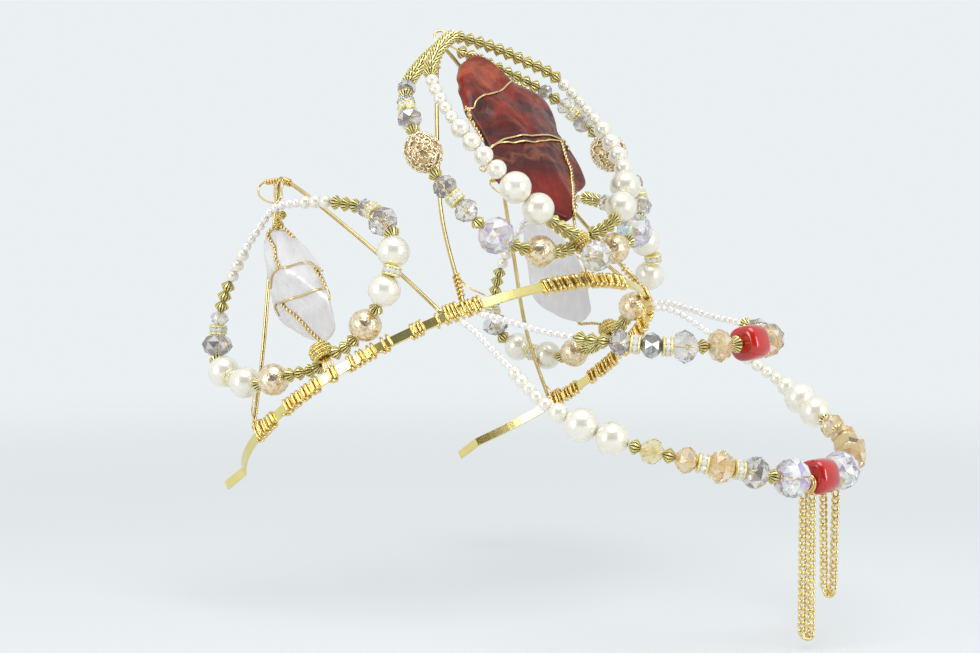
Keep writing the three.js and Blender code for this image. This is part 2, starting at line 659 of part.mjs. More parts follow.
function addChain(name, end, inward, drop, spread) {
  const reach = (inward * beads.slot.length) / 2;
  const hook = levelled(point(end.x + reach, end.y, end.z));
  const ring = new THREE.TorusGeometry(chainRingRadius, chainRingWire / 2, 6, 16);
  ring.rotateY(Math.PI / 2).translate(hook.x, hook.y, hook.z - ringDrop);
  addPart(`${name}_ring`, ring, 'gold', hanging);
  const points = chainPoints(hook, drop, spread);
  const sizes = points.map((unused, index) => (index % 2 ? chainWidth : chainWaist) / 2);
  addPart(name, tubeBody(points, sizes, 5), 'gold', hanging);
}
addChain('long_chain', lowerCoral[0], 1, longChainDrop, longChainSpread);
addChain('short_chain', lowerCoral[1], -1, shortChainDrop, shortChainSpread);

console.log(`least gap between turns of binding wire: ${leastTurnGap.toFixed(2)} mm`);

export default tiara;
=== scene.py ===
"""Looks of a wire-wrapped bead tiara: its beads, stones, wire and chain, on its CAD frame.

Lengths are millimetres in the tiara's own frame, where the band lies flat, the front is -Y and
the petals stand up. tipped() turns such a point to the way the tiara sits on a head, and build()
writes metres.
"""
import math
import random
from bisect import bisect_right

import bpy
from mathutils import Matrix, Vector, noise


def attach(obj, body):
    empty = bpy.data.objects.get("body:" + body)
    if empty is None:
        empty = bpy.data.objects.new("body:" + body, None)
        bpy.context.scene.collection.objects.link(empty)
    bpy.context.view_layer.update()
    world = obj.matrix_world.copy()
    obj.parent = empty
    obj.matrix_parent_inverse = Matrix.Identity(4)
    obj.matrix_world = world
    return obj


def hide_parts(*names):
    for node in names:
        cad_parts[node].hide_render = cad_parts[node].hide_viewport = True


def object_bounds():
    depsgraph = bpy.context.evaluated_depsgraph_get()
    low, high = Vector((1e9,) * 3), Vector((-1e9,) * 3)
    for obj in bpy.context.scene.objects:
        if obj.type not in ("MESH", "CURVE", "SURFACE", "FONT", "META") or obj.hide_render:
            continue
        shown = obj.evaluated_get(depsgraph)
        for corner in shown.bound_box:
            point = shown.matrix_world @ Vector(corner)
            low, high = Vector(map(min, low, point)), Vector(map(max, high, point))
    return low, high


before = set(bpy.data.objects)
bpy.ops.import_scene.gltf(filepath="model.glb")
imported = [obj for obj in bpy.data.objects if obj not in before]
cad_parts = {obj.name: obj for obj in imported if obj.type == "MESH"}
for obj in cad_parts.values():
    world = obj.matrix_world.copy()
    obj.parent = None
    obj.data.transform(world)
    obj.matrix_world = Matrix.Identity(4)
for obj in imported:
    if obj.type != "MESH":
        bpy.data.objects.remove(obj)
cad_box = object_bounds()
chance = random.Random(7)

METRES = 0.001
TILT = math.radians(32.4)
BAND_RADIUS = 71.6
BAND_HEIGHT = 3.0
BAND_THICKNESS = 1.0
BAND_END_ANGLE = 130
TAB_LENGTH = 10.0
FRAME_WIRE = 1.3
BINDING_WIRE = 0.92
FINE_WIRE = 0.5
THREAD_WIRE = 0.6
SEAT_GAP = 0.3
BAND_TOP = BAND_HEIGHT / 2 + SEAT_GAP
FOOT_RISE = 1.5
SIDES = {"left": 1, "right": -1}
UP = Vector((0, 0, 1))
# A little over a full turn, so that a bead may lie any way round
ANY_TURN = 6.3


def tipped(p):
    """A point of the flat tiara, tilted as it sits on a head."""
    return Vector((
        p[0],
        p[1] * math.cos(TILT) + p[2] * math.sin(TILT),
        -p[1] * math.sin(TILT) + p[2] * math.cos(TILT),
    ))


def on_band(angle, radius=BAND_RADIUS, height=0.0):
    """A place over the band, at degrees from the front towards the left."""
    turn = math.radians(angle)
    return Vector((-radius * math.sin(turn), -radius * math.cos(turn), height))


def flipped(points, side):
    """Points of the left half, mirrored when the side is the right one."""
    return [Vector((SIDES[side] * p[0], p[1], p[2])) for p in points]


# Shapes

def beside(across, along):
    """Two directions square to along, the first of them as near to across as can be."""
    across = (across - along * across.dot(along)).normalized()
    return across, along.cross(across)


def swung(across, other, turn):
    """A direction turned from across towards other."""
    return across * math.cos(turn) + other * math.sin(turn)


def round_z(angle, reach, height):
    """A place at an angle round the Z axis."""
    return Vector((reach * math.cos(angle), reach * math.sin(angle), height))


def full_turn(count):
    """Equal steps round a turn."""
    return [2 * math.pi * step / count for step in range(count)]


class Shape:
    """Points and faces, each face with its look and whether it is shaded smooth."""

    def __init__(self):
        self.points = []
        self.faces = []
        self.looks = []
        self.smooth = []

    def add(self, points, faces, look, smooth=True):
        first = len(self.points)
        self.points.extend(Vector(p) for p in points)
        for index, face in enumerate(faces):
            self.faces.append([first + corner for corner in face])
            self.looks.append(look if isinstance(look, str) else look[index])
            self.smooth.append(smooth)
        return self

    def put(self, other, start, end, spin=0.0):
        """Adds a bead whose thread runs along its Z, between two places on the thread."""
        along = (end - start).normalized()
        across = along.orthogonal().normalized()
        u = swung(across, along.cross(across), spin)
        v = along.cross(u)
        self.merge(other, lambda p: start + u * p.x + v * p.y + along * p.z)

    def merge(self, other, place=lambda p: p):
        first = len(self.points)
        self.points.extend(place(p) for p in other.points)
        self.faces.extend([first + corner for corner in face] for face in other.faces)
        self.looks.extend(other.looks)
        self.smooth.extend(other.smooth)
        return self


def joined(*parts):
    shape = Shape()
    for part in parts:
        shape.merge(part)
    return shape


def build(name, shape, node, body="tiara", tilt=True):
    """One object from a shape. It rides on its body and stands for one CAD node."""
    mesh = bpy.data.meshes.new(name)
    places = [(tipped(p) if tilt else p) * METRES for p in shape.points]
    mesh.from_pydata([tuple(p) for p in places], [], shape.faces)
    used = sorted(set(shape.looks))
    for look in used:
        mesh.materials.append(looks[look])
    slots = {look: index for index, look in enumerate(used)}
    mesh.polygons.foreach_set("material_index", [slots[look] for look in shape.looks])
    mesh.polygons.foreach_set("use_smooth", shape.smooth)
    mesh.update()
    piece = bpy.data.objects.new(name, mesh)
    bpy.context.scene.collection.objects.link(piece)
    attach(piece, body)
    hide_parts(node)


def ring_faces(rings, count):
    """Faces between rings of count points, laid one after another."""
    faces = []
    for ring in range(rings - 1):
        for side in range(count):
            here, beyond = ring * count + side, ring * count + (side + 1) % count
            faces.append((here, beyond, beyond + count, here + count))
    return faces


def end_faces(rings, count):
    return [tuple(reversed(range(count))), tuple(range((rings - 1) * count, rings * count))]


def capped_faces(rings, count):
    return ring_faces(rings, count) + end_faces(rings, count)


def lathe(profile, count, look, swell=lambda angle: 1.0):
    """A turned body along Z from (height, radius) pairs, closed at both ends."""
    points = [round_z(angle, radius * swell(angle), height)
              for height, radius in profile for angle in full_turn(count)]
    return Shape().add(points, capped_faces(len(profile), count), look)


def tube(points, radius, look, count=8, closed=False):
    """A round wire through points, without twist."""
    points = [Vector(p) for p in points]
    last = len(points) - 1
    across = None
    rings = []
    for index, at in enumerate(points):
        before = points[index - 1] if closed else points[max(index - 1, 0)]
        after = points[(index + 1) % (last + 1)] if closed else points[min(index + 1, last)]
        along = (after - before).normalized()
        if across is None:
            across = along.orthogonal()
        across, other = beside(across, along)
        rings += [at + swung(across, other, turn) * radius for turn in full_turn(count)]
    if not closed:
        return Shape().add(rings, capped_faces(last + 1, count), look)
    faces = ring_faces(last + 1, count)
    start = last * count
    gaps = [(rings[start] - rings[shift]).length for shift in range(count)]
    shift = gaps.index(min(gaps))
    for side in range(count):
        beyond = (side + 1) % count
        faces.append((start + side, start + beyond, (beyond + shift) % count, (side + shift) % count))
    return Shape().add(rings, faces, look)


class Curve:
    """A centripetal Catmull-Rom curve with places by share of its length."""

    def __init__(self, points, per_span=40):
        points = [Vector(p) for p in points]
        ends = [points[0] * 2 - points[1], *points, points[-1] * 2 - points[-2]]
        self.places = [points[0]]
        for span in range(len(points) - 1):
            a, b, c, d = ends[span:span + 4]
            t0, t1, t2 = ((q - p).length ** 0.5 for p, q in ((a, b), (b, c), (c, d)))
            m1 = ((b - a) / t0 - (c - a) / (t0 + t1) + (c - b) / t1) * t1
            m2 = ((c - b) / t1 - (d - b) / (t1 + t2) + (d - c) / t2) * t1
            for step in range(1, per_span + 1):
                t = step / per_span
                bend, swing = c * 3 - b * 3 - m1 * 2 - m2, b * 2 - c * 2 + m1 + m2
                self.places.append(b + m1 * t + bend * t ** 2 + swing * t ** 3)
        self.passed = [0.0]
        for p, q in zip(self.places, self.places[1:]):
            self.passed.append(self.passed[-1] + (q - p).length)
        self.length = self.passed[-1]

    def at(self, share):
        goal = min(max(share, 0.0), 1.0) * self.length
        low = min(bisect_right(self.passed, goal), len(self.passed) - 1) - 1
        span = self.passed[low + 1] - self.passed[low]
        return self.places[low].lerp(self.places[low + 1], (goal - self.passed[low]) / span)

    def heading(self, share):
        step = 0.002
        return (self.at(share + step) - self.at(share - step)).normalized()

    def steps(self, count):
        return [self.at(index / count) for index in range(count + 1)]


def smooth_wire(points, radius, look="wire_gold", pitch=0.6, count=8):
    curve = Curve(points, 16)
    return tube(curve.steps(max(4, round(curve.length / pitch))), radius, look, count)


def twisted_wire(points, look="stone_wire", strand=0.3, pitch=2.0):
    """Two strands twisted together along a route."""
    curve = Curve(points, 16)
    steps = max(6, round(curve.length / pitch * 8))
    across = curve.heading(0.01).orthogonal()
    strands = ([], [])
    for index in range(steps + 1):
        share = index / steps
        across, other = beside(across, curve.heading(share))
        for which, strand_points in enumerate(strands):
            turn = 2 * math.pi * share * curve.length / pitch + which * math.pi
            strand_points.append(curve.at(share) + swung(across, other, turn) * strand)
    return tube(strands[0], strand, look, 6).merge(tube(strands[1], strand, look, 6))


def coil(curve, start, end, turns, radius, wire):
    """Turns of wire round a curve, between two shares of its length."""
    across = curve.heading(start).orthogonal()
    points = []
    steps = turns * 12
    for step in range(steps + 1):
        share = start + (end - start) * step / steps
        across, other = beside(across, curve.heading(share))
        turn = 2 * math.pi * turns * step / steps
        points.append(curve.at(share) + swung(across, other, turn) * radius)
    return tube(points, wire / 2, "wire_gold", 7)


# Materials

class Tree:
    """The node tree of a material or of the world."""

    def __init__(self, owner):
        owner.use_nodes = True
        self.nodes = owner.node_tree.nodes
        self.link = owner.node_tree.links.new

    def fill(self, node, inputs):
        """Gives inputs their values, or links them to the outputs given."""
        for name, value in inputs.items():
            if isinstance(value, bpy.types.NodeSocket):
                self.link(value, node.inputs[name])
            else:
                node.inputs[name].default_value = value

    def add(self, kind, inputs=None, output=0, **settings):
        """Adds a node and returns one of its outputs."""
        node = self.nodes.new(f"ShaderNode{kind}")
        for name, value in settings.items():
            setattr(node, name, value)
        self.fill(node, inputs or {})
        return node.outputs[output]

    def ramp(self, factor, bands):
        """A colour ramp through (place, colour) pairs."""
        node = self.nodes.new("ShaderNodeValToRGB")
        stops = node.color_ramp.elements
        while len(stops) < len(bands):
            stops.new(0.5)
        for index, (place, colour) in enumerate(bands):
            stops[index].position = place
            stops[index].color = (*colour, 1)
        self.link(factor, node.inputs["Fac"])
        return node.outputs["Color"]

    def finish(self, **sockets):
        """Fills the Principled shader, whose sockets are named here with low lines."""
        inputs = {name.replace("_", " "): value for name, value in sockets.items()}
        self.fill(self.nodes["Principled BSDF"], inputs)


# The part of the noise's range that a finish's colours share, and the depth of its relief in metres
BLOTCH_FROM = 0.32
BLOTCH_TO = 0.68
BUMP_DEPTH = 0.0002


def material(name, colours, scale, rough, metal=0.0, bump=0.0, bump_scale=2500, cells=False,
             rough_span=0.08, **sockets):
    """A finish whose colour, roughness and relief vary over the surface."""
    made = bpy.data.materials.new(name)
    tree = Tree(made)
    coordinates = tree.add("TexCoord", output="Object")
    blotches = tree.add("TexNoise", {"Vector": coordinates, "Scale": scale, "Detail": 3})
    step = (BLOTCH_TO - BLOTCH_FROM) / (len(colours) - 1)
    bands = [(BLOTCH_FROM + step * index, colour) for index, colour in enumerate(colours)]
    span = {"Value": blotches, "To Min": max(0.0, rough - rough_span), "To Max": rough + rough_span}
    if bump:
        grain = {"Vector": coordinates, "Scale": bump_scale}
        if cells:
            height = tree.add("TexVoronoi", grain, feature="DISTANCE_TO_EDGE")
        else:
            height = tree.add("TexNoise", {**grain, "Detail": 4})
        relief = {"Height": height, "Strength": bump, "Distance": BUMP_DEPTH}
        sockets["Normal"] = tree.add("Bump", relief)
    tree.finish(Base_Color=tree.ramp(blotches, bands), Roughness=tree.add("MapRange", span),
                Metallic=metal, **sockets)
    return made


# Colours, scale of their blotches, roughness, metal share, relief and the relief's scale
METAL_LOOKS = {
    "bead_gold": ([(0.84, 0.73, 0.28), (0.97, 0.89, 0.46)], 500, 0.32, 0.62, 0.15),
    # The walls and bottoms of a fluted bead's grooves: painted shade, darkest at the bottom
    "bead_flank_painted_shade": ([(0.50, 0.41, 0.12), (0.70, 0.60, 0.22)], 500, 0.34, 0.62, 0.15),
    "bead_groove": ([(0.05, 0.035, 0.008), (0.11, 0.08, 0.02)], 500, 0.45, 1, 0.2),
    "wire_gold": ([(0.82, 0.58, 0.20), (0.94, 0.74, 0.34)], 300, 0.2, 1, 0.12),
    "chain_gold": ([(0.86, 0.66, 0.26), (0.97, 0.82, 0.42)], 300, 0.22, 1, 0.12),
    "stone_wire": ([(0.76, 0.56, 0.26), (0.90, 0.72, 0.40)], 300, 0.22, 1, 0.12),
    "knot_gold": ([(0.56, 0.42, 0.13), (0.84, 0.68, 0.28)], 500, 0.26, 1, 0.15),
    "frame_gold": ([(0.56, 0.42, 0.17), (0.78, 0.63, 0.32)], 120, 0.22, 1, 0.1),
    "band_gold": ([(0.82, 0.69, 0.24), (0.94, 0.83, 0.38)], 60, 0.2, 1, 0.05, 900),
    "ball_gold": ([(0.66, 0.47, 0.24), (0.90, 0.74, 0.50), (0.97, 0.88, 0.70)], 900, 0.27, 0.9, 1.0, 700,
                  True),
    "scroll_gold": ([(0.93, 0.77, 0.50), (1.0, 0.92, 0.72)], 500, 0.22, 1, 0.2),
    # The core under a filigree's scrolls: painted shade inside the cage
    "scroll_recess": ([(0.50, 0.34, 0.16), (0.82, 0.64, 0.38)], 900, 0.36, 1, 0.4),
    "smoke_mirror": ([(0.68, 0.64, 0.62), (0.92, 0.90, 0.88)], 400, 0.06, 0.8, 0.02),
    "dark_mirror": ([(0.26, 0.27, 0.28), (0.72, 0.74, 0.76)], 400, 0.07, 0.9, 0.02),
    "champagne_mirror": ([(0.92, 0.74, 0.54), (0.98, 0.90, 0.78)], 400, 0.07, 0.8, 0.02),
}
# Two tints, and the share of light let through
GLASS_LOOKS = {
    "smoke": ([(0.78, 0.73, 0.70), (0.90, 0.87, 0.84)], 0.8),
    "smoke_deep": ([(0.36, 0.32, 0.30), (0.52, 0.48, 0.46)], 0.6),
    "dark": ([(0.24, 0.25, 0.25), (0.40, 0.41, 0.41)], 0.6),
    "champagne": ([(1.0, 0.80, 0.46), (1.0, 0.89, 0.64)], 0.6),
    "champagne_deep": ([(0.86, 0.56, 0.24), (0.95, 0.72, 0.42)], 0.6),
    "lemon": ([(0.97, 0.86, 0.48), (0.99, 0.93, 0.66)], 0.65),
    "lemon_deep": ([(0.78, 0.64, 0.28), (0.90, 0.80, 0.46)], 0.6),
    "clear": ([(0.97, 0.95, 0.92), (1.0, 0.99, 0.97)], 0.8),
    "clear_white": ([(0.93, 0.93, 0.94), (0.98, 0.98, 0.98)], 0.3),
    "clear_violet": ([(0.50, 0.38, 0.92), (0.68, 0.62, 0.97)], 0.6),
    "clear_pink": ([(0.95, 0.62, 0.74), (0.98, 0.80, 0.86)], 0.6),
    "clear_mint": ([(0.52, 0.90, 0.78), (0.76, 0.96, 0.90)], 0.6),
    "rhinestone": ([(0.90, 0.87, 0.82), (0.98, 0.97, 0.95)], 0.25),
}
COATED_LOOKS = {
    "pearl": (([(0.90, 0.86, 0.72), (0.96, 0.92, 0.81)], 60, 0.3, 0.38, 0.004, 400),
              {"Coat_Weight": 1.0, "Coat_Roughness": 0.13, "Coat_IOR": 1.62}),
    "seed_pearl": (([(0.92, 0.88, 0.84), (0.98, 0.95, 0.92)], 200, 0.3, 0.34, 0.004, 500),
                   {"Coat_Weight": 1.0, "Coat_Roughness": 0.13, "Coat_IOR": 1.6}),
    "coral": (([(0.46, 0.008, 0.006), (0.62, 0.014, 0.010)], 160, 0.16, 0, 0.04, 700),
              {"Coat_Weight": 0.8, "Coat_Roughness": 0.05}),
}
looks = {name: material(name, *finish) for name, finish in METAL_LOOKS.items()}
for name, (tints, clear) in GLASS_LOOKS.items():
    looks[name] = material(name, tints, 260, 0.02, rough_span=0.01, Transmission_Weight=clear, IOR=1.52)
for name, (finish, coat) in COATED_LOOKS.items():
    looks[name] = material(name, *finish, **coat)


def stone_material(name, heights, bands, streak, rough, relief, blotch, **sockets):
    """A polished stone: colour bands between two heights in metres, bent, streaked and blotched."""
    made = bpy.data.materials.new(name)
    tree = Tree(made)
    coordinates = tree.add("TexCoord", output="Object")
    height = tree.add("SeparateXYZ", {"Vector": coordinates}, "Z")
    level = tree.add("MapRange", {"Value": height, "From Min": heights[0], "From Max": heights[1],
                                  "To Min": -streak / 2, "To Max": 1 - streak / 2}, clamp=False)
    stretched = tree.add("Mapping", {"Vector": coordinates, "Scale": (1, 1.5, 0.6),
                                     "Rotation": (0.6, 0.5, 0.1)})
    veins = tree.add("TexNoise", {"Vector": stretched, "Scale": 52, "Detail": 9, "Roughness": 0.64,
                                  "Distortion": 1.0})
    bent = tree.add("Math", {0: veins, 1: streak, 2: level}, operation="MULTIPLY_ADD")
    darkest, scale = blotch
    specks = tree.add("TexNoise", {"Vector": stretched, "Scale": scale, "Detail": 5})
    grey = tree.add("MapRange", {"Value": specks, "From Min": 0.3, "From Max": 0.7, "To Min": darkest})
    speckled = tree.add("Mix", {"Factor": 1.0, 6: tree.ramp(bent, bands), 7: grey}, 2,
                        data_type="RGBA", blend_type="MULTIPLY")
    bump = tree.add("Bump", {"Height": veins, "Strength": relief, "Distance": 0.0014})
    tree.finish(Base_Color=speckled, Normal=bump, Roughness=rough, **sockets)
    return made


# Beads

def mirrored(shares):
    """A whole profile from its lower half, whose last entry is the middle."""
    return [*shares, *((1 - share[0], *share[1:]) for share in reversed(shares[:-1]))]


def oval(rows, length, width, share=1.0, least=0.1):
    """The profile of a ball or an egg, at a share of its size and centred in its length."""
    turns = [math.pi * row / rows for row in range(rows + 1)]
    return [(length / 2 * (1 - share * math.cos(turn)), max(least, width / 2 * share * math.sin(turn)))
            for turn in turns]


def pearl(length, width, look="pearl"):
    count = 30 if width > 5 else 20 if width > 3.5 else 14
    return lathe(oval(round(count * 0.6), length, width), count, look)


def seed_pearl(length, width):
    return pearl(length, width, "seed_pearl")


FLUTES = 14
# A flute's columns by share of its width, two on the ridge and two in the groove, and their looks; the
# groove's walls and bottom carry painted shade
FLUTE_SHARES = (-0.25, 0.25, 0.38, 0.62)
FLUTE_LOOKS = ("bead_gold", "bead_flank_painted_shade", "bead_groove", "bead_flank_painted_shade")
# Height, radius and depth of the grooves, by share
CONE_SHARES = mirrored([(0, 0.3, 0.1), (0.06, 0.45, 0.28), (0.24, 0.71, 0.34), (0.4, 0.91, 0.28),
                        (0.5, 1, 0.16)])


def fluted(length, width):
    """A double cone with radial flutes: bright ridges, grooves painted dark as shade, and a sharp
    middle.
    """
    points = []
    for height, radius, cut in CONE_SHARES:
        for flute in range(FLUTES):
            for share, depth in zip(FLUTE_SHARES, (0, 0, cut, cut)):
                angle = 2 * math.pi * (flute + share) / FLUTES
                points.append(round_z(angle, width / 2 * radius * (1 - depth), height * length))
    # The ends round the hole take the painted groove shade too
    face_looks = [*FLUTE_LOOKS * FLUTES * (len(CONE_SHARES) - 1), "bead_groove", "bead_groove"]
    faces = capped_faces(len(CONE_SHARES), FLUTES * len(FLUTE_SHARES))
    return Shape().add(points, faces, face_looks, False)


CORE_INSET = 0.1


def faceted(length, width, rings, sides, palette):
    """A cut crystal: rings of (height, radius, half turn) shares joined by triangles."""
    points = []
    for height, radius, half in rings:
        for side in range(sides):
            angle = 2 * math.pi * (side + half / 2) / sides
            points.append(round_z(angle, width / 2 * radius, height * length))
    faces = []
    for ring in range(len(rings) - 1):
        turn = rings[ring + 1][2] - rings[ring][2]
        for side in range(sides):
            here, after = ring * sides + side, ring * sides + (side + 1) % sides
            above, beyond = here + sides, after + sides
            if turn == 0:
                faces.append((here, after, beyond, above))
            elif turn > 0:
                faces += [(here, after, above), (after, beyond, above)]
            else:
                faces += [(here, after, beyond), (here, beyond, above)]
    faces += end_faces(len(rings), sides)
    shape = Shape().add(points, faces, [chance.choice(palette) for _ in faces], False)
    core = [(CORE_INSET, THREAD_WIRE / 2), (length - CORE_INSET, THREAD_WIRE / 2)]
    return shape.merge(lathe(core, 8, "wire_gold"))


RONDELLE_SHARES = mirrored([(0, 0.34, 0), (0.2, 0.8, 0), (0.5, 1, 1)])
BRIOLETTE_SHARES = mirrored([(0, 0.34, 0), (0.13, 0.7, 1), (0.31, 0.94, 0), (0.5, 1, 1)])


def words(text):
    """The words of a text such as "lead 3*bicone", each as often as it says."""
    found = []
    for word in text.split():
        count, _, kind = word.rpartition("*")
        found += [kind] * int(count or 1)
    return found


# Looks that a crystal's facets are drawn from
PALETTES = {
    "smoke": words("7*smoke 2*smoke_deep 3*smoke_mirror"),
    "dark": words("4*dark 2*smoke_deep 3*dark_mirror smoke"),
    "pale": words("3*clear 6*smoke 2*clear_white"),
    "champagne": words("8*champagne 2*champagne_deep champagne_mirror"),
    "lemon": words("7*lemon 2*lemon_deep champagne_mirror"),
    "clear": words("10*clear 5*clear_white 2*clear_violet clear_pink clear_mint"),
    "ice": words("8*clear 3*clear_white smoke"),
}


def rondelle(length, width, palette):
    return faceted(length, width, RONDELLE_SHARES, 8, PALETTES[palette])


def briolette(length, width, palette):
    return faceted(length, width, BRIOLETTE_SHARES, 11, PALETTES[palette])


SPACER_STONES = 8
RIM_SHARE = 0.24
CORE_SHARE = 0.62
STONE_SHARE = 0.72
SCALLOP_SHARE = 0.08
SPACER_RIM_SHARES = ((0, 0.5), (0, 0.88), (0.3, 0.99), (0.7, 0.99), (1, 0.88), (1, 0.5))
# How far each ring of a small stone stands out, and its width, by share
SPACER_STONE_SHARES = ((0.55, 1), (0.8, 1), (0.96, 0.5))


def spacer(length, width):
    """Two scalloped rims with a row of small stones between them."""
    def scallop(angle):
        return 1 - SCALLOP_SHARE + SCALLOP_SHARE * abs(math.cos(angle * SPACER_STONES / 2))

    rim, reach = length * RIM_SHARE, width / 2
    core = [(height, reach * CORE_SHARE) for height in (rim / 2, length - rim / 2)]
    shape = lathe(core, 18, "bead_gold")
    for foot in (0, length - rim):
        profile = [(foot + rim * z, reach * r) for z, r in SPACER_RIM_SHARES]
        shape.merge(lathe(profile, SPACER_STONES * 6, "bead_gold", scallop))
    size = (length - 2 * rim) * STONE_SHARE
    for turn in full_turn(SPACER_STONES):
        points = []
        for push, spread in SPACER_STONE_SHARES:
            middle = round_z(turn, reach * push, length / 2)
            for corner in full_turn(6):
                aside = swung(round_z(turn + math.pi / 2, 1, 0), UP, corner)
                points.append(middle + aside * size * spread)
        shape.add(points, [*ring_faces(3, 6), tuple(range(12, 18))], "rhinestone", False)
    return shape


DENT_SHARE = 0.035
DENT_SCALE = 3.2
DENT_STRENGTH = 5


def engraved_ball(length, width):
    """A ball whose skin is dented all over, as by engraving."""
    count, rows = 48, 30
    seed = Vector((chance.uniform(0, 100), 0, 0))
    points = []
    for row in range(rows + 1):
        turn = math.pi * row / rows
        for angle in full_turn(count):
            out = round_z(angle, math.sin(turn), -math.cos(turn))
            dent = min(1, DENT_STRENGTH * abs(noise.noise(out * DENT_SCALE + seed)))
            swell = 1 - DENT_SHARE + DENT_SHARE * dent
            reach = width / 2 * swell * (1 if 0 < row < rows else 0.02)
            points.append((out.x * reach, out.y * reach, length / 2 + out.z * width / 2 * 0.985))
    return Shape().add(points, capped_faces(rows + 1, count), "ball_gold")


SCROLLS = 84
SCROLL_STEPS = 16
SCROLL_WIRE = 0.44
FILIGREE_CORE_SHARE = 0.88
FILIGREE_SCROLL_SHARE = 0.95


def filigree(length, width):
    """An oval cage of small wire scrolls over a core painted darker as shade inside the cage."""
    shape = lathe(oval(16, length, width, FILIGREE_CORE_SHARE, 0.2), 28, "scroll_recess")
    reach = Vector((width, width, length)) / 2 * FILIGREE_SCROLL_SHARE
    golden = math.pi * (3 - math.sqrt(5))
    for scroll in range(SCROLLS):
        z = 1 - 2 * (scroll + 0.5) / SCROLLS
        out = round_z(golden * scroll, math.sqrt(1 - z * z), z)
        u = out.orthogonal().normalized()
        v = out.cross(u)
        turn, hand = chance.uniform(0, ANY_TURN), chance.choice((-1, 1))
        reel, wide = chance.uniform(0.5, 1.4), chance.uniform(0.2, 0.42)
        points = []
        for step in range(SCROLL_STEPS + 1):
            share = step / SCROLL_STEPS
            spread = (0.04 + wide * share) * chance.uniform(0.94, 1.06)
            angle = turn + hand * 2 * math.pi * reel * share
            place = (out + swung(u, v, angle) * spread).normalized() * (1 + 0.02 * math.sin(3 * angle))
            points.append((place.x * reach.x, place.y * reach.y, length / 2 + place.z * reach.z))
        shape.merge(tube(points, SCROLL_WIRE / 2, "scroll_gold", 5))
    return shape


BARREL_SHARES = mirrored([(0, 0.14), (0, 0.62), (0.03, 0.8), (0.09, 0.92), (0.2, 0.98), (0.5, 1)])
BARREL_SQUARENESS = 2.7


def barrel(length, width):
    """A coral barrel: slightly squared, with rounded shoulders."""
    power = BARREL_SQUARENESS
    corner = 2 ** (0.5 - 1 / power)

    def squared(angle):
        side = abs(math.cos(angle)) ** power + abs(math.sin(angle)) ** power
        return side ** (-1 / power) / corner

    return lathe([(z * length, r * width / 2) for z, r in BARREL_SHARES], 40, "coral", squared)


def thread(length, width):
    return lathe([(0, width / 2), (length, width / 2)], 8, "wire_gold")


def tail(length, width):
    """The end of a swag: two of its seed pearls, drawn in where the thread meets the band."""
    shape = thread(length, THREAD_WIRE)
    for start in (0, length / 2):
        shape.merge(seed_pearl(length / 2, width), lambda p, start=start: p + UP * start)
    return shape


# Length, width and maker of each kind of bead
BEADS = {
    "seed": (2.45, 2.3, seed_pearl),
    "rice": (2.9, 2.9, seed_pearl),
    "smallPearl": (4, 4.1, pearl),
    "pearl": (5.9, 6, pearl),
    "bigPearl": (9.9, 10, pearl),
    "ball": (10, 10, engraved_ball),
    "filigree": (14.2, 12, filigree),
    "bicone": (3.5, 4.7, fluted),
    "cap": (3.8, 5.2, fluted),
    "smallCrystal": (4.4, 6, rondelle),
    "crystal": (6.2, 8, rondelle),
    "bigCrystal": (7.4, 10, rondelle),
    "spacer": (3, 6, spacer),
    "clear": (10.8, 11.6, briolette),
    "frontClear": (10, 9.8, briolette),
    "coral": (8.6, 11.4, barrel),
    "tail": (4.4, 2.1, tail),
    "lead": (1.2, 0.9, thread),
    "slot": (2.2, 0.9, thread),
}


def bead_row(points, kinds):
    """Beads on a thread: they fill the route in proportion to their lengths."""
    route = Curve(points)
    beads = [kind.split(":") for kind in words(kinds)]
    total = sum(BEADS[name][0] for name, *_ in beads)
    margin = SEAT_GAP / 2 / route.length
    passed, start = 0, route.at(margin)
    row = Shape()
    for name, *palette in beads:
        length, width, make = BEADS[name]
        passed += length / total
        end = route.at(min(passed, 1 - margin))
        row.put(make((end - start).length, width, *palette), start, end, chance.uniform(0, ANY_TURN))
        start = end
    return row


# Threads of the left half, from foot to point
SIDE_FRONT = [
    (-66.6, -21.4, 6.2), (-65, -26, 5.8), (-63.9, -29.6, 6.2), (-62.2, -35.5, 8.3),
    (-62.8, -42.2, 9.8), (-62.8, -48.2, 12.8), (-61.4, -53.4, 17), (-59.5, -55.4, 22),
    (-57, -55.5, 27.9), (-56.1, -53.5, 33), (-56.3, -51.8, 37.9), (-56.1, -49.5, 41.1),
    (-56.5, -46.5, 43.5), (-59.1, -39.6, 49.4),
]
SIDE_TOP = [
    (-59.1, -39.6, 49.4), (-60, -34.1, 52.8), (-61.1, -26.9, 56.7), (-61.8, -21.5, 59.1),
    (-62.2, -16.4, 59.5), (-62.4, -11, 58), (-62.7, -3, 55.9), (-62.9, 4.3, 53), (-63.2, 10, 50.3),
]
SIDE_REAR = [
    (-63.2, 10, 50.3), (-63.8, 14.6, 47.3), (-64.1, 20.3, 42.3), (-64.2, 22.7, 39.4),
    (-64.8, 25, 34.8), (-67.3, 25.4, 29.8), (-69.5, 21.6, 22.9), (-70.6, 16.6, 18.8),
    (-71.2, 11.5, 13.9), (-71.1, 6.8, 12.1), (-70.4, -0.4, 10.2), (-69.4, -6.2, 8.1),
    (-67.6, -9, 7.1), (-66.2, -12, 6.2), (-66.4, -15.8, 5.8),
]
INNER = [
    (-1.9, -77, 13.3), (-8.3, -78.2, 14), (-14.9, -79.9, 17), (-20.8, -80.8, 21.8),
    (-26.1, -81.4, 27.8), (-31.2, -80, 39), (-33.6, -77, 53), (-33.1, -74.8, 62),
    (-31.4, -73.2, 71), (-28.2, -72, 77.3), (-22.6, -70.2, 82.2), (-16.5, -68.6, 87),
    (-11.1, -67.2, 90.6), (-5.3, -65.5, 93.9), (-0.2, -64.3, 96.2),
]
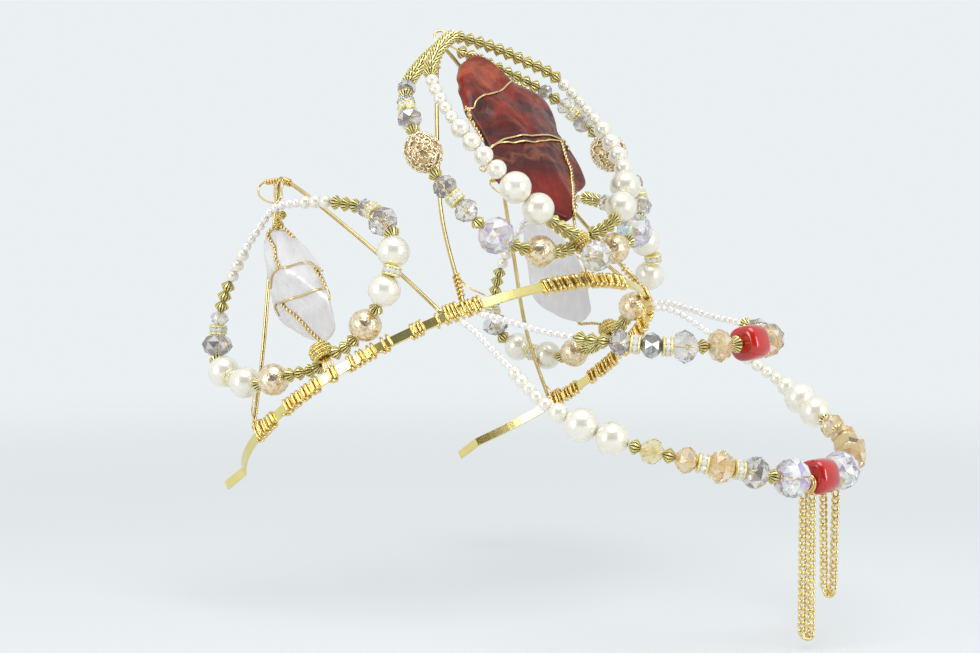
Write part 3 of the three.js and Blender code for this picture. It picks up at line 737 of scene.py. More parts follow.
OUTER_BASE = [
    (-2, -73.9, 11), (-8, -72.9, 10.1), (-17.7, -73, 10), (-22.7, -72.4, 11.4), (-28.2, -72, 13.9),
]
OUTER_CLEAR = [(-28.2, -72, 13.9), (-37, -71.8, 20.1)]
OUTER_MIDDLE = [(-37, -71.8, 20.1), (-41.8, -72.2, 27), (-44.3, -70.9, 35.2), (-44.3, -69.3, 42)]
OUTER_FILIGREE = [(-44.3, -69.3, 42), (-42.8, -67.4, 56)]
OUTER_TOP = [
    (-42.8, -67.4, 56), (-41, -66.7, 61.8), (-37.4, -65, 69), (-32.1, -63.5, 75.9),
    (-25.4, -62.1, 81.5), (-18, -60.9, 86.4), (-10.5, -59.8, 91), (-4.6, -59.4, 94.2),
]
FRONT_CRYSTAL = [(-5, -78.2, 4.9), (5, -78.2, 4.9)]
UPPER_SWAG = [
    (-40, -60.2, -3.4), (-42.6, -63, -5), (-42.6, -70, -11), (-41.5, -79, -19.5),
    (-40.8, -86.3, -25.4), (-38.5, -91.5, -29.8), (-33.3, -96.9, -34), (-28, -102.6, -38.7),
    (-21.2, -107.9, -42.5), (-12.1, -112.9, -45.7), (-7.2, -115, -46.7), (-4.3, -115.4, -46.8),
]
LOWER_PEARL = [
    (-45.35, -56.3, -3.4), (-48, -59.5, -5.6), (-49.5, -63.3, -10.8), (-51.2, -68, -19.9),
    (-52.7, -72, -26.8), (-54.5, -77, -37), (-55.5, -80.6, -43.6), (-54.5, -83.6, -48.6),
    (-49.3, -92.6, -62.1), (-46.9, -95.4, -65.5),
]
LOWER_CRYSTAL = [
    (-46.9, -95.4, -65.5), (-43.5, -99, -69.7), (-38, -104.3, -75.7), (-31.3, -108.6, -80.9),
    (-22.6, -112.4, -85.3), (-15.4, -114.6, -89.2),
]
LOWER_CLEAR = [(-15.4, -114.6, -89.2), (-4.7, -115.3, -91)]
SWAG_CENTRE_SHIFT = 1.8


def shifted(points, start):
    """The right half of the lower swag, drawn along so that its coral hangs off centre."""
    moved = []
    for index, (x, y, z) in enumerate(points):
        share = start + (1 - start) * index / (len(points) - 1)
        moved.append((-x + 2 * SWAG_CENTRE_SHIFT * share, y, z))
    return moved


# Node, thread, slot and beads of each petal's strands
PETAL_STRANDS = (
    ("loop_front", SIDE_FRONT, "pearl",
     "3*bicone ball bicone bigPearl spacer bigPearl cap bigCrystal:smoke spacer smallCrystal:smoke "
     "3*bicone"),
    ("loop_top", SIDE_TOP, "pearl", "3*smallPearl 10*rice 3*smallPearl"),
    ("loop_rear", SIDE_REAR, "pearl",
     "3*bicone smallCrystal:pale spacer bigCrystal:smoke cap bigPearl spacer bigPearl bicone ball "
     "4*bicone"),
    ("inner_loop", INNER, "pearl", "lead 4*bicone 2*bigPearl 4*pearl 5*smallPearl 11*bicone"),
    ("outer_loop_base", OUTER_BASE, "gold", "lead 3*bicone ball 2*bicone"),
    ("outer_loop_crystal", OUTER_CLEAR, "clear_crystal", "clear:clear"),
    ("outer_loop_middle", OUTER_MIDDLE, "champagne_crystal",
     "bicone crystal:pale spacer crystal:smoke bicone"),
    ("outer_loop_filigree", OUTER_FILIGREE, "filigree", "filigree"),
    ("outer_loop_top", OUTER_TOP, "gold",
     "bicone crystal:smoke spacer smallCrystal:pale bicone smallCrystal:smoke 9*bicone"),
)
for side in SIDES:
    for name, points, slot, kinds in PETAL_STRANDS:
        node = f"{side}_{name}"
        build(f"{node}_beads", bead_row(flipped(points, side), kinds), node)
build("front_crystal_bead", bead_row(FRONT_CRYSTAL, "frontClear:ice"), "front_crystal")

UPPER_KINDS = ("tail 14*seed 3*bicone crystal:smoke spacer crystal:dark spacer bigCrystal:pale bicone "
               "bigCrystal:champagne cap")
for side in SIDES:
    node = f"upper_swag_{side}"
    build(f"{node}_beads", bead_row(flipped(UPPER_SWAG, side), UPPER_KINDS), node, "upper_swag")
upper_ends = [flipped(UPPER_SWAG[-1:], side)[0] for side in SIDES]
build("upper_swag_coral_bead", bead_row(upper_ends, "coral"), "upper_swag_coral", "upper_swag")

LOWER_PEARL_KINDS = "tail 11*seed 5*smallPearl pearl 2*bigPearl"
LOWER_CRYSTALS = {
    "left": "bicone crystal:lemon bicone crystal:champagne spacer bigCrystal:champagne spacer "
            "bigCrystal:smoke bicone",
    "right": "bicone crystal:champagne bicone crystal:champagne spacer bigCrystal:champagne spacer "
             "bigCrystal:champagne bicone",
}
LOWER_ROUTES = {
    "left": (LOWER_CRYSTAL, LOWER_CLEAR),
    "right": (shifted(LOWER_CRYSTAL, 0), shifted(LOWER_CLEAR, 1)),
}
for side, (crystal_points, clear_points) in LOWER_ROUTES.items():
    # End of the piece's name and of the node's name, thread, beads and slot
    for piece, end, points, kinds, slot in (
            ("pearl_beads", "pearls", flipped(LOWER_PEARL, side), LOWER_PEARL_KINDS, "pearl"),
            ("crystal_beads", "crystals", crystal_points, LOWER_CRYSTALS[side], "champagne_crystal"),
            ("clear_bead", "clear", clear_points, "clear:clear", "clear_crystal")):
        node = f"lower_swag_{side}"
        build(f"{node}_{piece}", bead_row(points, kinds), f"{node}_{end}", "lower_swag")
lower_ends = [clear_points[-1] for _, clear_points in LOWER_ROUTES.values()]
row = bead_row(lower_ends, "slot coral slot")
build("lower_swag_coral_bead", row, "lower_swag_coral", "lower_swag")

# Band and windings

STRIP_BEVEL = 0.16
# Places of the tab's sections by share of its length, and degrees between sections of the arc
TAB_SHARES = (1, 0.75, 0.5, 0.25, 0.1)
ARC_STEP = 2


def strip_section(at, out):
    """The strip's section as a ring of points, with cut corners."""
    section = []
    for across, up in ((1, -1), (1, 1), (-1, 1), (-1, -1)):
        bevels = [(STRIP_BEVEL, 0), (0, STRIP_BEVEL)]
        for inset_out, inset_up in reversed(bevels) if across * up > 0 else bevels:
            place = at + out * across * (BAND_THICKNESS / 2 - inset_out)
            section.append(Vector((place.x, place.y, up * (BAND_HEIGHT / 2 - inset_up))))
    return section


def band_shape():
    """The strip round the head, its ends bent to a straight tab."""
    end = on_band(BAND_END_ANGLE)
    right_tab, left_tab = [
        [strip_section(Vector((-side * end.x, end.y + TAB_LENGTH * share, 0)), Vector((side, 0, 0)))
         for share in TAB_SHARES]
        for side in (1, -1)
    ]
    bend = (BAND_END_ANGLE + 90) / 2
    arc = [strip_section(on_band(angle), on_band(max(-bend, min(bend, angle)), 1))
           for angle in range(BAND_END_ANGLE, -BAND_END_ANGLE - 1, -ARC_STEP)]
    rings = [*left_tab, *arc, *reversed(right_tab)]
    faces = capped_faces(len(rings), len(rings[0]))
    return Shape().add([p for ring in rings for p in ring], faces, "band_gold", False)


build("band_strip", band_shape(), "band")

# One turn of a winding: across the strip and up, by share
WINDING_TURN_SHARES = ((1, -0.7), (1, 0), (1, 0.7), (0.62, 1), (-0.62, 1), (-1, 0.7), (-1, 0),
                       (-1, -0.7), (-0.62, -1), (0.62, -1))
# How unevenly the turns lie: aside in degrees, and outwards
WINDING_LEAN = 0.24
WINDING_SWELL = 0.22


def winding(start, end, turns, extra, side):
    """Uneven turns of wire round the band between two angles, over whatever lies on top of it."""
    out, up = (BAND_THICKNESS + BINDING_WIRE) / 2, (BAND_HEIGHT + BINDING_WIRE) / 2
    leans = [chance.uniform(-WINDING_LEAN, WINDING_LEAN) for _ in range(turns + 2)]
    swells = [chance.uniform(0, WINDING_SWELL) for _ in range(turns + 2)]
    points = []
    for step in range(turns * len(WINDING_TURN_SHARES) + 1):
        turn, place = divmod(step, len(WINDING_TURN_SHARES))
        across, rise = WINDING_TURN_SHARES[place]
        share = place / len(WINDING_TURN_SHARES)
        lean = leans[turn] * (1 - share) + leans[turn + 1] * share
        swell = swells[turn] * (1 - share) + swells[turn + 1] * share
        pair, within = divmod(turn + share, 2)
        angle = start + (end - start) / turns * (pair * 2 + within * 0.8 + lean)
        lift = extra if rise > 0.9 else extra * 0.8 if rise > 0.6 else 0
        points.append(on_band(angle, BAND_RADIUS + across * (out + swell), rise * (up + swell) + lift))
    return smooth_wire(flipped(points, side), BINDING_WIRE / 2, "wire_gold", 0.55, 7)


# First and last angle, turns, and how far the wire is lifted by what it holds on the strip
WINDINGS = {
    "end_winding": ((95.6, 101.4, 4, 0), (101.6, 104.9, 3, 1.1)),
    "rear_petal_winding": ((77.8, 91.2, 8, 0),),
    "front_petal_winding": ((60.8, 69.2, 6, 0), (56.2, 59.6, 2, 0.3), (71.9, 74.8, 2, 0)),
    "petal_foot_winding": ((47.6, 51.6, 4, 0), (43.7, 44.7, 1, 0), (38.6, 42.4, 4, 1.2)),
    "swag_winding": ((32.8, 38.2, 5, 0.5),),
    "centre_winding": ((4.4, 16.2, 8, 0), (0.6, 3.6, 2, 0.3)),
}
for side in SIDES:
    for name, spans in WINDINGS.items():
        shape = joined(*(winding(*span, side) for span in spans))
        build(f"{side}_{name}_wire", shape, f"{side}_{name}")

# Petal frames

# Angles of the feet
SIDE_REAR_FOOT = 105.6
SIDE_FRONT_FOOT = 42.8
CENTRE_FOOT = 36.4
# Angles that each foot's toe takes along the band, and how far toe and heel lie over its top
SIDE_REAR_TOE = (102.4, 104.2)
SIDE_FRONT_TOE = (41.5, 39.5)
CENTRE_TOE = (40, 38)
TOE_LIFT = 0.35
HEEL_LIFT = 0.6
# A stay of fine wire at each middle foot: angles and heights on the band
CENTRE_STAY = ((33.5, 6.2), (30.6, 2.2))
STUB_BALL = 1.3
SIDE_WIRE = [
    (-62, 10.4, 23.7), (-56.9, -2.9, 48.2), (-52.6, -14.3, 67.9), (-51.5, -16.8, 71.9),
    (-51.1, -19.7, 68.3), (-49.8, -31.5, 46.7), (-48.3, -43.7, 21.6),
]
CENTRE_WIRE = [(-31.5, -54.4, 34.1), (-17.9, -54.8, 63.3), (-2.5, -57.3, 94.5)]
CENTRE_WIRE += [(0, -57.4, 97.4), *reversed(flipped(CENTRE_WIRE, "right"))]


def frame_curve(first_angle, places, last_angle):
    feet = [on_band(first_angle, BAND_RADIUS, BAND_TOP), on_band(last_angle, BAND_RADIUS, BAND_TOP)]
    risen = [foot + UP * FOOT_RISE for foot in feet]
    return Curve([risen[0], *places, risen[1]]), feet


def frame_shape(curve, feet, toes, side):
    """The wire over the petal's point, each foot bent along the band under its winding."""
    first, last = ([on_band(angle, BAND_RADIUS, BAND_TOP + TOE_LIFT) for angle in toe] for toe in toes)
    heels = [foot + UP * HEEL_LIFT for foot in feet]
    points = [*first, heels[0], *curve.steps(120), heels[1], *last]
    return tube(flipped(points, side), FRAME_WIRE / 2, "frame_gold", 14)


side_curve, side_feet = frame_curve(SIDE_REAR_FOOT, SIDE_WIRE, SIDE_FRONT_FOOT)
centre_curve, centre_feet = frame_curve(CENTRE_FOOT, CENTRE_WIRE, -CENTRE_FOOT)
# A wire end beside the rear foot, with a small ball on it
stub_end = side_curve.at(0.085) + Vector((-1.1, 0.5, 0))
rear_stub = [on_band(103.4, BAND_RADIUS, BAND_TOP + 0.8), side_curve.at(0.03) + Vector((-1.1, 0.6, 0)),
             stub_end]
for side in SIDES:
    shape = joined(frame_shape(side_curve, side_feet, (SIDE_REAR_TOE, SIDE_FRONT_TOE), side),
                   smooth_wire(flipped(rear_stub, side), FINE_WIRE / 2))
    at = flipped([stub_end], side)[0]
    shape.put(pearl(STUB_BALL, STUB_BALL, "wire_gold"), at - UP * 0.3, at + UP)
    build(f"{side}_petal_wire", shape, f"{side}_petal_frame")
last_toe = [-angle for angle in reversed(CENTRE_TOE)]
shape = frame_shape(centre_curve, centre_feet, (CENTRE_TOE, last_toe), "left")
for side, sign in SIDES.items():
    leg = Curve(flipped(centre_curve.steps(60)[:8], side))
    shape.merge(coil(leg, 0.02, 0.42, 6, FRAME_WIRE / 2 + 0.34, 0.62))
    stay = [on_band(sign * angle, BAND_RADIUS, height) for angle, height in CENTRE_STAY]
    shape.merge(smooth_wire([leg.at(0.4), *stay], FINE_WIRE / 2))
build("centre_petal_wire", shape, "centre_petal_frame")

# Stones

QUARTZ_FOOT = Vector((-60, -13.2, 13.65))
QUARTZ_SIZE = (24.8, 41.9, 8)
QUARTZ_OUTLINE = [
    (-0.173, 0), (-0.056, 0.008), (0.008, 0.04), (0.093, 0.08), (0.214, 0.149), (0.323, 0.235),
    (0.431, 0.32), (0.5, 0.423), (0.496, 0.5), (0.444, 0.583), (0.375, 0.678), (0.302, 0.793),
    (0.23, 0.907), (0.133, 0.993), (0.04, 1), (-0.056, 0.979), (-0.181, 0.929), (-0.262, 0.862),
    (-0.359, 0.766), (-0.435, 0.652), (-0.5, 0.528), (-0.496, 0.433), (-0.476, 0.323),
    (-0.435, 0.24), (-0.379, 0.123), (-0.315, 0.03),
]
JASPER_FOOT = Vector((1.5, -74.7, 19))
JASPER_SIZE = (46, 70.3, 10)
JASPER_LEAN = 11.5
JASPER_OUTLINE = [
    (-0.091, 0), (-0.026, 0.013), (0.072, 0.064), (0.124, 0.117), (0.196, 0.156), (0.289, 0.182),
    (0.367, 0.219), (0.404, 0.296), (0.42, 0.364), (0.404, 0.425), (0.409, 0.475), (0.396, 0.506),
    (0.454, 0.575), (0.5, 0.657), (0.498, 0.72), (0.452, 0.767), (0.387, 0.795), (0.296, 0.828),
    (0.248, 0.862), (0.211, 0.943), (0.152, 0.987), (0.083, 1), (-0.041, 0.963), (-0.122, 0.936),
    (-0.17, 0.903), (-0.237, 0.852), (-0.257, 0.814), (-0.302, 0.777), (-0.32, 0.733),
    (-0.346, 0.69), (-0.378, 0.64), (-0.38, 0.592), (-0.376, 0.484), (-0.417, 0.364),
    (-0.5, 0.235), (-0.283, 0.097),
]
STONE_LAYER_SHARES = (0, 0.1, 0.2, 0.3, 0.4, 0.5, 0.58, 0.66, 0.74, 0.81, 0.87, 0.92, 0.96, 0.99)
RIM_STEPS = 140
# The share of the way to the rim where a stone starts to round off, and the share of its first ring
FLAT_SHARE = 0.55
HEART_SHARE = 0.004
LEAST_STAND = 0.12
# Chipped planes of a stone: across and up of a place on it, how far it stands out, and its slopes
QUARTZ_PLANES = ((-5.5, 22, 2.9, 0.42, 0.02), (5, 24, 3.1, -0.3, 0.04), (0, 35, 2.9, 0.1, -0.36),
                 (0, 8, 3, -0.12, 0.3), (-8, 16, 1.9, 0.75, -0.2), (2, 21, 3.5, 0.08, 0.16))
JASPER_PLANES = ((2, 58, 4.1, 0.06, -0.09), (-12, 50, 3.4, 0.3, 0.02), (16, 48, 3.6, -0.24, 0.05),
                 (9, 22, 3.7, -0.2, 0.1), (-8, 18, 3.4, 0.2, 0.12))


class Stone:
    """A chipped slab: its rim, and faces that follow the lowest of several planes."""

    def __init__(self, outline, size, planes, chip, seed):
        width, height, self.thick = size
        edge = Curve([(x * width, z * height, 0) for x, z in [*outline, outline[0]]], 12)
        self.rim = [edge.at(index / RIM_STEPS) for index in range(RIM_STEPS)]
        self.heart = sum(self.rim, Vector()) / RIM_STEPS
        self.planes, self.chip, self.seed = planes, chip, seed

    def share(self, across, up):
        """How far a place lies from the stone's heart to its rim, which is 1."""
        out = Vector((across, up, 0)) - self.heart
        if out.length < 0.01:
            return 0
        near = max(self.rim, key=lambda at: (at - self.heart).normalized().dot(out))
        return out.length / (near - self.heart).length

    def stand(self, across, up, share, face=1):
        """How far a face stands out from the middle of the slab."""
        past = max(0, (min(share, 1) - FLAT_SHARE) / (1 - FLAT_SHARE))
        height = 0.5 * self.thick * (1 - past ** 2.2) ** 0.5
        for x, z, level, slope_across, slope_up in self.planes:
            height = min(height, level + slope_across * (across - x) * face + slope_up * (up - z))
        spot = Vector((across, up, self.seed + face * 3))
        cell = noise.cell(Vector((across * 0.11 + 0.08 * up, up * 0.07, self.seed)))
        wear = max(0, noise.noise(spot * 0.17)) + 0.25 * abs(noise.noise(spot * 0.5)) + 0.12 * cell
        return max(height - self.chip * wear * (1 - min(share, 1) ** 4), LEAST_STAND)

    def shape(self, place, look):
        """Rings from the back's heart to the rim and on to the front's heart."""
        points = []
        for face, layers in ((-1, STONE_LAYER_SHARES), (1, tuple(reversed(STONE_LAYER_SHARES)))):
            for layer in layers:
                for at in self.rim:
                    spot = self.heart + (at - self.heart) * max(layer, HEART_SHARE)
                    points.append(place(spot.x, spot.y, face * self.stand(spot.x, spot.y, layer, face)))
        return Shape().add(points, capped_faces(2 * len(STONE_LAYER_SHARES), RIM_STEPS), look)


def quartz_place(across, up, depth):
    return QUARTZ_FOOT + Vector((-depth, across, up))


def jasper_place(across, up, depth):
    return JASPER_FOOT + Vector((across, JASPER_LEAN * up / JASPER_SIZE[1] - depth, up))


QUARTZ_BANDS = [
    (0.0, (0.97, 0.95, 0.94)), (0.33, (0.90, 0.86, 0.86)), (0.45, (0.99, 0.97, 0.96)),
    (0.6, (0.90, 0.87, 0.87)), (0.72, (0.99, 0.97, 0.97)), (1.0, (0.95, 0.92, 0.92)),
]
JASPER_BANDS = [
    (0.0, (0.24, 0.012, 0.008)), (0.2, (0.32, 0.026, 0.012)), (0.33, (0.15, 0.015, 0.010)),
    (0.4, (0.07, 0.014, 0.012)), (0.45, (0.19, 0.042, 0.020)), (0.49, (0.30, 0.085, 0.034)),
    (0.53, (0.19, 0.042, 0.020)), (0.57, (0.07, 0.014, 0.012)), (0.63, (0.18, 0.018, 0.010)),
    (0.71, (0.36, 0.038, 0.014)), (0.8, (0.28, 0.024, 0.010)), (0.88, (0.58, 0.105, 0.032)),
    (1.0, (0.30, 0.022, 0.010)),
]
looks["quartz"] = stone_material(
    "quartz", (0.018, 0.053), QUARTZ_BANDS, streak=0.8, rough=0.14, relief=0.45, blotch=(0.9, 300),
    Transmission_Weight=0.14, IOR=1.45, Coat_Weight=0.6, Coat_Roughness=0.06)
looks["jasper"] = stone_material(
    "jasper", (0.056, 0.109), JASPER_BANDS, streak=0.95, rough=0.3, relief=0.6, blotch=(0.34, 130),
    Specular_IOR_Level=0.2, Coat_Weight=0.2, Coat_Roughness=0.1)

quartz_stone = Stone(QUARTZ_OUTLINE, QUARTZ_SIZE, QUARTZ_PLANES, chip=0.9, seed=11)
jasper_stone = Stone(JASPER_OUTLINE, JASPER_SIZE, JASPER_PLANES, chip=1.5, seed=40)
for side in SIDES:
    quartz = quartz_stone.shape(quartz_place, "quartz")
    quartz.points = flipped(quartz.points, side)
    if side == "left":
        quartz.faces = [list(reversed(face)) for face in quartz.faces]
    build(f"{side}_quartz_stone", quartz, f"{side}_quartz")
build("jasper_stone", jasper_stone.shape(jasper_place, "jasper"), "jasper")

# Ties

# Wires on the stones, by across and up on the stone: the twisted ones, then the plain ones
QUARTZ_TWISTS = (
    [(-2.2, 41.8), (1.6, 41.2), (1, 38.5), (-0.6, 34), (-0.2, 31), (0, 28)],
    [(-3.5, 41.5), (-6.1, 37.6), (-7.5, 34.5)],
    [(-10.5, 22), (-11, 19), (-11.5, 15.5), (-11.5, 14)],
    [(6, 18.5), (5, 16), (2.5, 10.5), (1.3, 6), (-0.5, 1.5), (-0.8, 0.2)],
)
QUARTZ_SINGLES = (
    [(0, 28), (-3, 26.5), (-6, 26), (-9, 24.5), (-10.5, 22.5), (-12, 20.5), (-13.1, 19.1)],
    [(0, 28), (2.5, 28), (5, 28), (7, 27), (9, 25.6)],
    [(-11.5, 14), (-8.5, 15), (-4, 16), (0.5, 17.5), (5, 18.5), (10, 20.5), (11.5, 19.5), (11, 17)],
    [(-11.5, 14.5), (-11.9, 13.4), (-11.7, 11.2), (-11, 10)],
)
JASPER_TWISTS = (
    [(-0.7, 71.3), (2.6, 70.6), (6, 69.8), (9.6, 68.2), (10.3, 65.1), (11.7, 61.5), (13.9, 59.2),
     (17.4, 57.3), (20.6, 54.9)],
    [(-16.5, 47), (-17.5, 43), (-17.5, 40), (-17.4, 36.5), (-17.9, 33.2)],
    [(14.5, 31), (12, 25.5), (11, 21), (8, 15.5), (2.4, 8.5), (-0.4, 3.5), (0.2, 0.8)],
)
JASPER_SINGLES = (
    [(14, 58.8), (6, 55), (1.5, 52.5), (-3, 51), (-10, 49.5), (-13, 48), (-15.5, 45.5), (-17.6, 46)],
    [(-18.2, 29.6), (-12, 32), (-6, 32.5), (3.5, 32.5), (11.5, 32.5), (16.5, 32), (19, 31.6), (16, 28)],
    [(-17.8, 30.2), (-14, 31), (-8.5, 30.5), (-0.5, 30), (7, 30.5), (16, 31.6)],
    [(-24.4, 22.3), (-25, 23.3), (-27.3, 21.9), (-26.7, 20.9), (-24.7, 21.9), (-21.5, 25)],
    [(9.1, 10.3), (2, 4), (0.4, 0.8)],
)


# How far the middle of a wire on a stone lies over its face, and the steps it is laid in
WIRE_LIFT = 0.35
DRAPE_STEP = 0.8


def draped(stone, place, pairs):
    """A route laid on a stone's face, or beside its rim where it leaves the face."""
    flat = Curve([(across, up, 0) for across, up in pairs], 12)
    spots = flat.steps(max(4, round(flat.length / DRAPE_STEP)))
    return [place(x, y, stone.stand(x, y, stone.share(x, y)) + WIRE_LIFT) for x, y, _ in spots]


def wires_on(stone, place, twists, singles, side="left"):
    def route(pairs):
        return flipped(draped(stone, place, pairs), side)

    return joined(*(twisted_wire(route(pairs), "stone_wire", 0.33, 2.9) for pairs in twists),
                  *(smooth_wire(route(pairs), 0.34, "stone_wire", 0.6, 7) for pairs in singles))


KNOT_STEPS = 14
ROPE_PITCH = 1.9


def roped_knot(centre, radii, rise, strand, side="left"):
    """Coils of rope round a knot, one above the other."""
    points = []
    steps = KNOT_STEPS * (len(radii) - 1)
    for step in range(steps + 1):
        share = step / steps * (len(radii) - 1)
        low = min(int(share), len(radii) - 2)
        radius = radii[low] + (radii[low + 1] - radii[low]) * (share - low)
        points.append(Vector(centre) + round_z(2 * math.pi * step / KNOT_STEPS, radius, rise * share))
    return twisted_wire(flipped(points, side), "knot_gold", strand, 1.5)


SIDE_BASE = Vector((-67.6, -19.1, 6.4))
SIDE_STEM_ANGLES = (74.8, 73.4, 72.2)
SIDE_APEX_LEG = [(-51.1, -19.7, 68.3), (-51.45, -17.4, 71.2)]
SIDE_APEX_STUB = [(-51.6, -17, 71), (-52, -14.6, 72.4), (-52.5, -12.4, 73.5), (-53, -10.6, 74.3)]
# Plain wires between the point of a side petal and its stone, then the rope and the knots there
SIDE_APEX_WIRES = (
    [(-53, -10.6, 74.3), (-54, -9.1, 73.5), (-55.5, -9.3, 70.8), (-57.5, -12.9, 66.1),
     (-59, -17.8, 62.2)],
    [(-51.9, -18.6, 70.2), (-53.4, -18.8, 68.6), (-55, -18.7, 66.7), (-58, -20.2, 62.8),
     (-59, -17.8, 62.2)],
    [(-52.4, -14.4, 72), (-54, -15.4, 69.6), (-57.5, -17, 64.8), (-59.4, -18.4, 60.6)],
    [(-61, -20.3, 56.5), (-60.6, -18.6, 55.8), (-60.4, -16.9, 55)],
)
SIDE_APEX_ROPE = [(-59, -17.8, 62.2), (-60.1, -18.2, 58.8), (-60.5, -17.1, 55.6)]
SIDE_APEX_KNOTS = (((-61, -20.3, 55.6), (0.5, 0.95, 0.95, 0.5), 0.55),
                   ((-60.4, -16.6, 54.2), (0.9, 1.3, 1.1, 0.6), 0.7))
for side in SIDES:
    stub = flipped(SIDE_APEX_STUB, side)
    shape = joined(
        coil(Curve(flipped(SIDE_APEX_LEG, side)), 0.04, 0.8, 4, FRAME_WIRE / 2 + 0.33, 0.66),
        smooth_wire(stub, 0.42),
        coil(Curve(stub), 0.12, 0.86, 5, 0.78, 0.56),
        *(smooth_wire(flipped(route, side), 0.33) for route in SIDE_APEX_WIRES),
        twisted_wire(flipped(SIDE_APEX_ROPE, side), "stone_wire", 0.34, 1.8),
        *(roped_knot(centre, radii, rise, 0.28, side) for centre, radii, rise in SIDE_APEX_KNOTS),
        wires_on(quartz_stone, quartz_place, QUARTZ_TWISTS[:2], QUARTZ_SINGLES[:2], side),
    )
    build(f"{side}_apex_tie_wire", shape, f"{side}_apex_tie")

    stems = [[on_band(angle, BAND_RADIUS, 1.6), on_band(angle, BAND_RADIUS - 0.4, 4), SIDE_BASE + UP]
             for angle in SIDE_STEM_ANGLES]
    rope = [SIDE_BASE + Vector((0.6, 0.6, 4.2)), SIDE_BASE + Vector((3, 2.4, 6)),
            quartz_place(-0.8, 0.2, 0.5)]
    shape = joined(
        roped_knot(SIDE_BASE, (2, 2.9, 3.1, 2.7, 1.5), 1.15, 0.46, side),
        *(smooth_wire(flipped(stem, side), 0.36) for stem in stems),
        twisted_wire(flipped(rope, side), "stone_wire", 0.3, ROPE_PITCH),
        wires_on(quartz_stone, quartz_place, QUARTZ_TWISTS[2:], QUARTZ_SINGLES[2:], side),
    )
    build(f"{side}_base_tie_wire", shape, f"{side}_base_tie")

CENTRE_BASE = Vector((0, -75, 9.2))
# A ring of wire over the middle petal's point
CREST = Vector((0, -58.7, 99.6))
CREST_STEPS = 20
CREST_START = 1.6
CREST_WIDE = 1.4
CREST_TALL = 2
crest_ring = []
for step in range(CREST_STEPS + 3):
    turn = 2 * math.pi * step / CREST_STEPS - CREST_START
    wide = CREST_WIDE * math.cos(turn)
    crest_ring.append(CREST + Vector((wide, -wide - 0.02 * step, CREST_TALL * math.sin(turn))))
CREST_LEGS = (
    [CREST + Vector((0.1, -0.1, -2)), (0.9, -60.4, 95), (1, -62, 92.4), jasper_place(-0.7, 71.3, 0.5)],
    [CREST + Vector((-0.2, 0.2, -2)), (-1, -58.6, 96.4), centre_curve.at(0.47)],
)
shape = joined(
    coil(Curve(centre_curve.steps(100)[42:50]), 0.3, 0.9, 4, FRAME_WIRE / 2 + 0.33, 0.62),
    tube(crest_ring, 0.36, "wire_gold"),
    *(smooth_wire(leg, 0.33) for leg in CREST_LEGS),
    wires_on(jasper_stone, jasper_place, JASPER_TWISTS[:2], JASPER_SINGLES[:1]),
)
build("centre_apex_tie_wire", shape, "centre_apex_tie")
rope = [CENTRE_BASE + UP * 5.4, (0.6, -75, 17), jasper_place(0.2, 0.8, 0.5)]
shape = joined(
    roped_knot(CENTRE_BASE, (1.6, 2.3, 2.6, 2.6, 2.1, 1.2), 1.15, 0.46),
    smooth_wire([(0, -71.6, 1.6), (0, -72.6, 5), CENTRE_BASE + UP], 0.4),
    twisted_wire(rope, "stone_wire", 0.3, ROPE_PITCH),
    wires_on(jasper_stone, jasper_place, JASPER_TWISTS[2:], JASPER_SINGLES[1:]),
)
build("centre_base_tie_wire", shape, "centre_base_tie")

# Chain loops

CHAIN_RING_RADIUS = 2.6
CHAIN_RING_WIRE = 0.8
# Each ring is a doubled wire: how far a turn is moved aside, its size by share and its lean
CHAIN_RING_TURNS = ((0, 1, 0), (0.55, 0.86, 0.3))
LINK_PITCH = 2.1
LINK_WIRE = 0.78
LINK_WIDTH = 2.8
LINK_LENGTH = 3.7
LINK_STEPS = 18
# Where the links start under the thread, and the radius of their turn at the bottom
CHAIN_TOP = 4.4
CHAIN_TURN = 1.5
# Where the rings hang on the lower swag's thread: they stand off it by both wires and a gap
HOOK_HEIGHT = LOWER_CLEAR[-1][1:]
RING_DROP = CHAIN_RING_RADIUS - (BEADS["slot"][1] + CHAIN_RING_WIRE) / 2 - SEAT_GAP
# Place along the thread, drop below it and distance of the two strands at the top
CHAINS = {"long_chain": (-3.6, 46.4, 3), "short_chain": (7.2, 35, 4.4)}


def link():
    """A curb link: an oval whose ends are turned, so that it lies flat through its neighbours."""
    points = []
    for turn in full_turn(LINK_STEPS):
        across = (LINK_WIDTH - LINK_WIRE) / 2 * math.cos(turn)
        up = (LINK_LENGTH - LINK_WIRE) / 2 * math.sin(turn)
        points.append(round_z(math.radians(45) * math.sin(turn), across, up))
    return tube(points, LINK_WIRE / 2, "chain_gold", 6, closed=True)


def chain_route(hook, drop, spread):
    """Down one strand, round the bottom and up the other."""
    half = []
    for share in (0, 0.25, 0.5, 0.75):
        half.append((spread / 2 + (CHAIN_TURN - spread / 2) * share,
                     -CHAIN_TOP - (drop - CHAIN_TOP - CHAIN_TURN) * share))
    for angle in (0, 30, 60):
        turn = math.radians(angle)
        half.append((CHAIN_TURN * math.cos(turn), CHAIN_TURN - drop - CHAIN_TURN * math.sin(turn)))
    other = [(-across, up) for across, up in reversed(half)]
    return Curve([hook + Vector((0, across, up)) for across, up in [*half, (0, -drop), *other]])


def chain_ring(centre, away):
    """A doubled ring, its second turn moved aside to the way given."""
    turns = []
    for aside, size, lean in CHAIN_RING_TURNS:
        radius = CHAIN_RING_RADIUS * size
        points = [centre + Vector((aside * away + lean * math.sin(turn), radius * math.cos(turn),
                                   radius * math.sin(turn))) for turn in full_turn(28)]
        turns.append(tube(points, CHAIN_RING_WIRE / 2 * size, "wire_gold", closed=True))
    return joined(*turns)


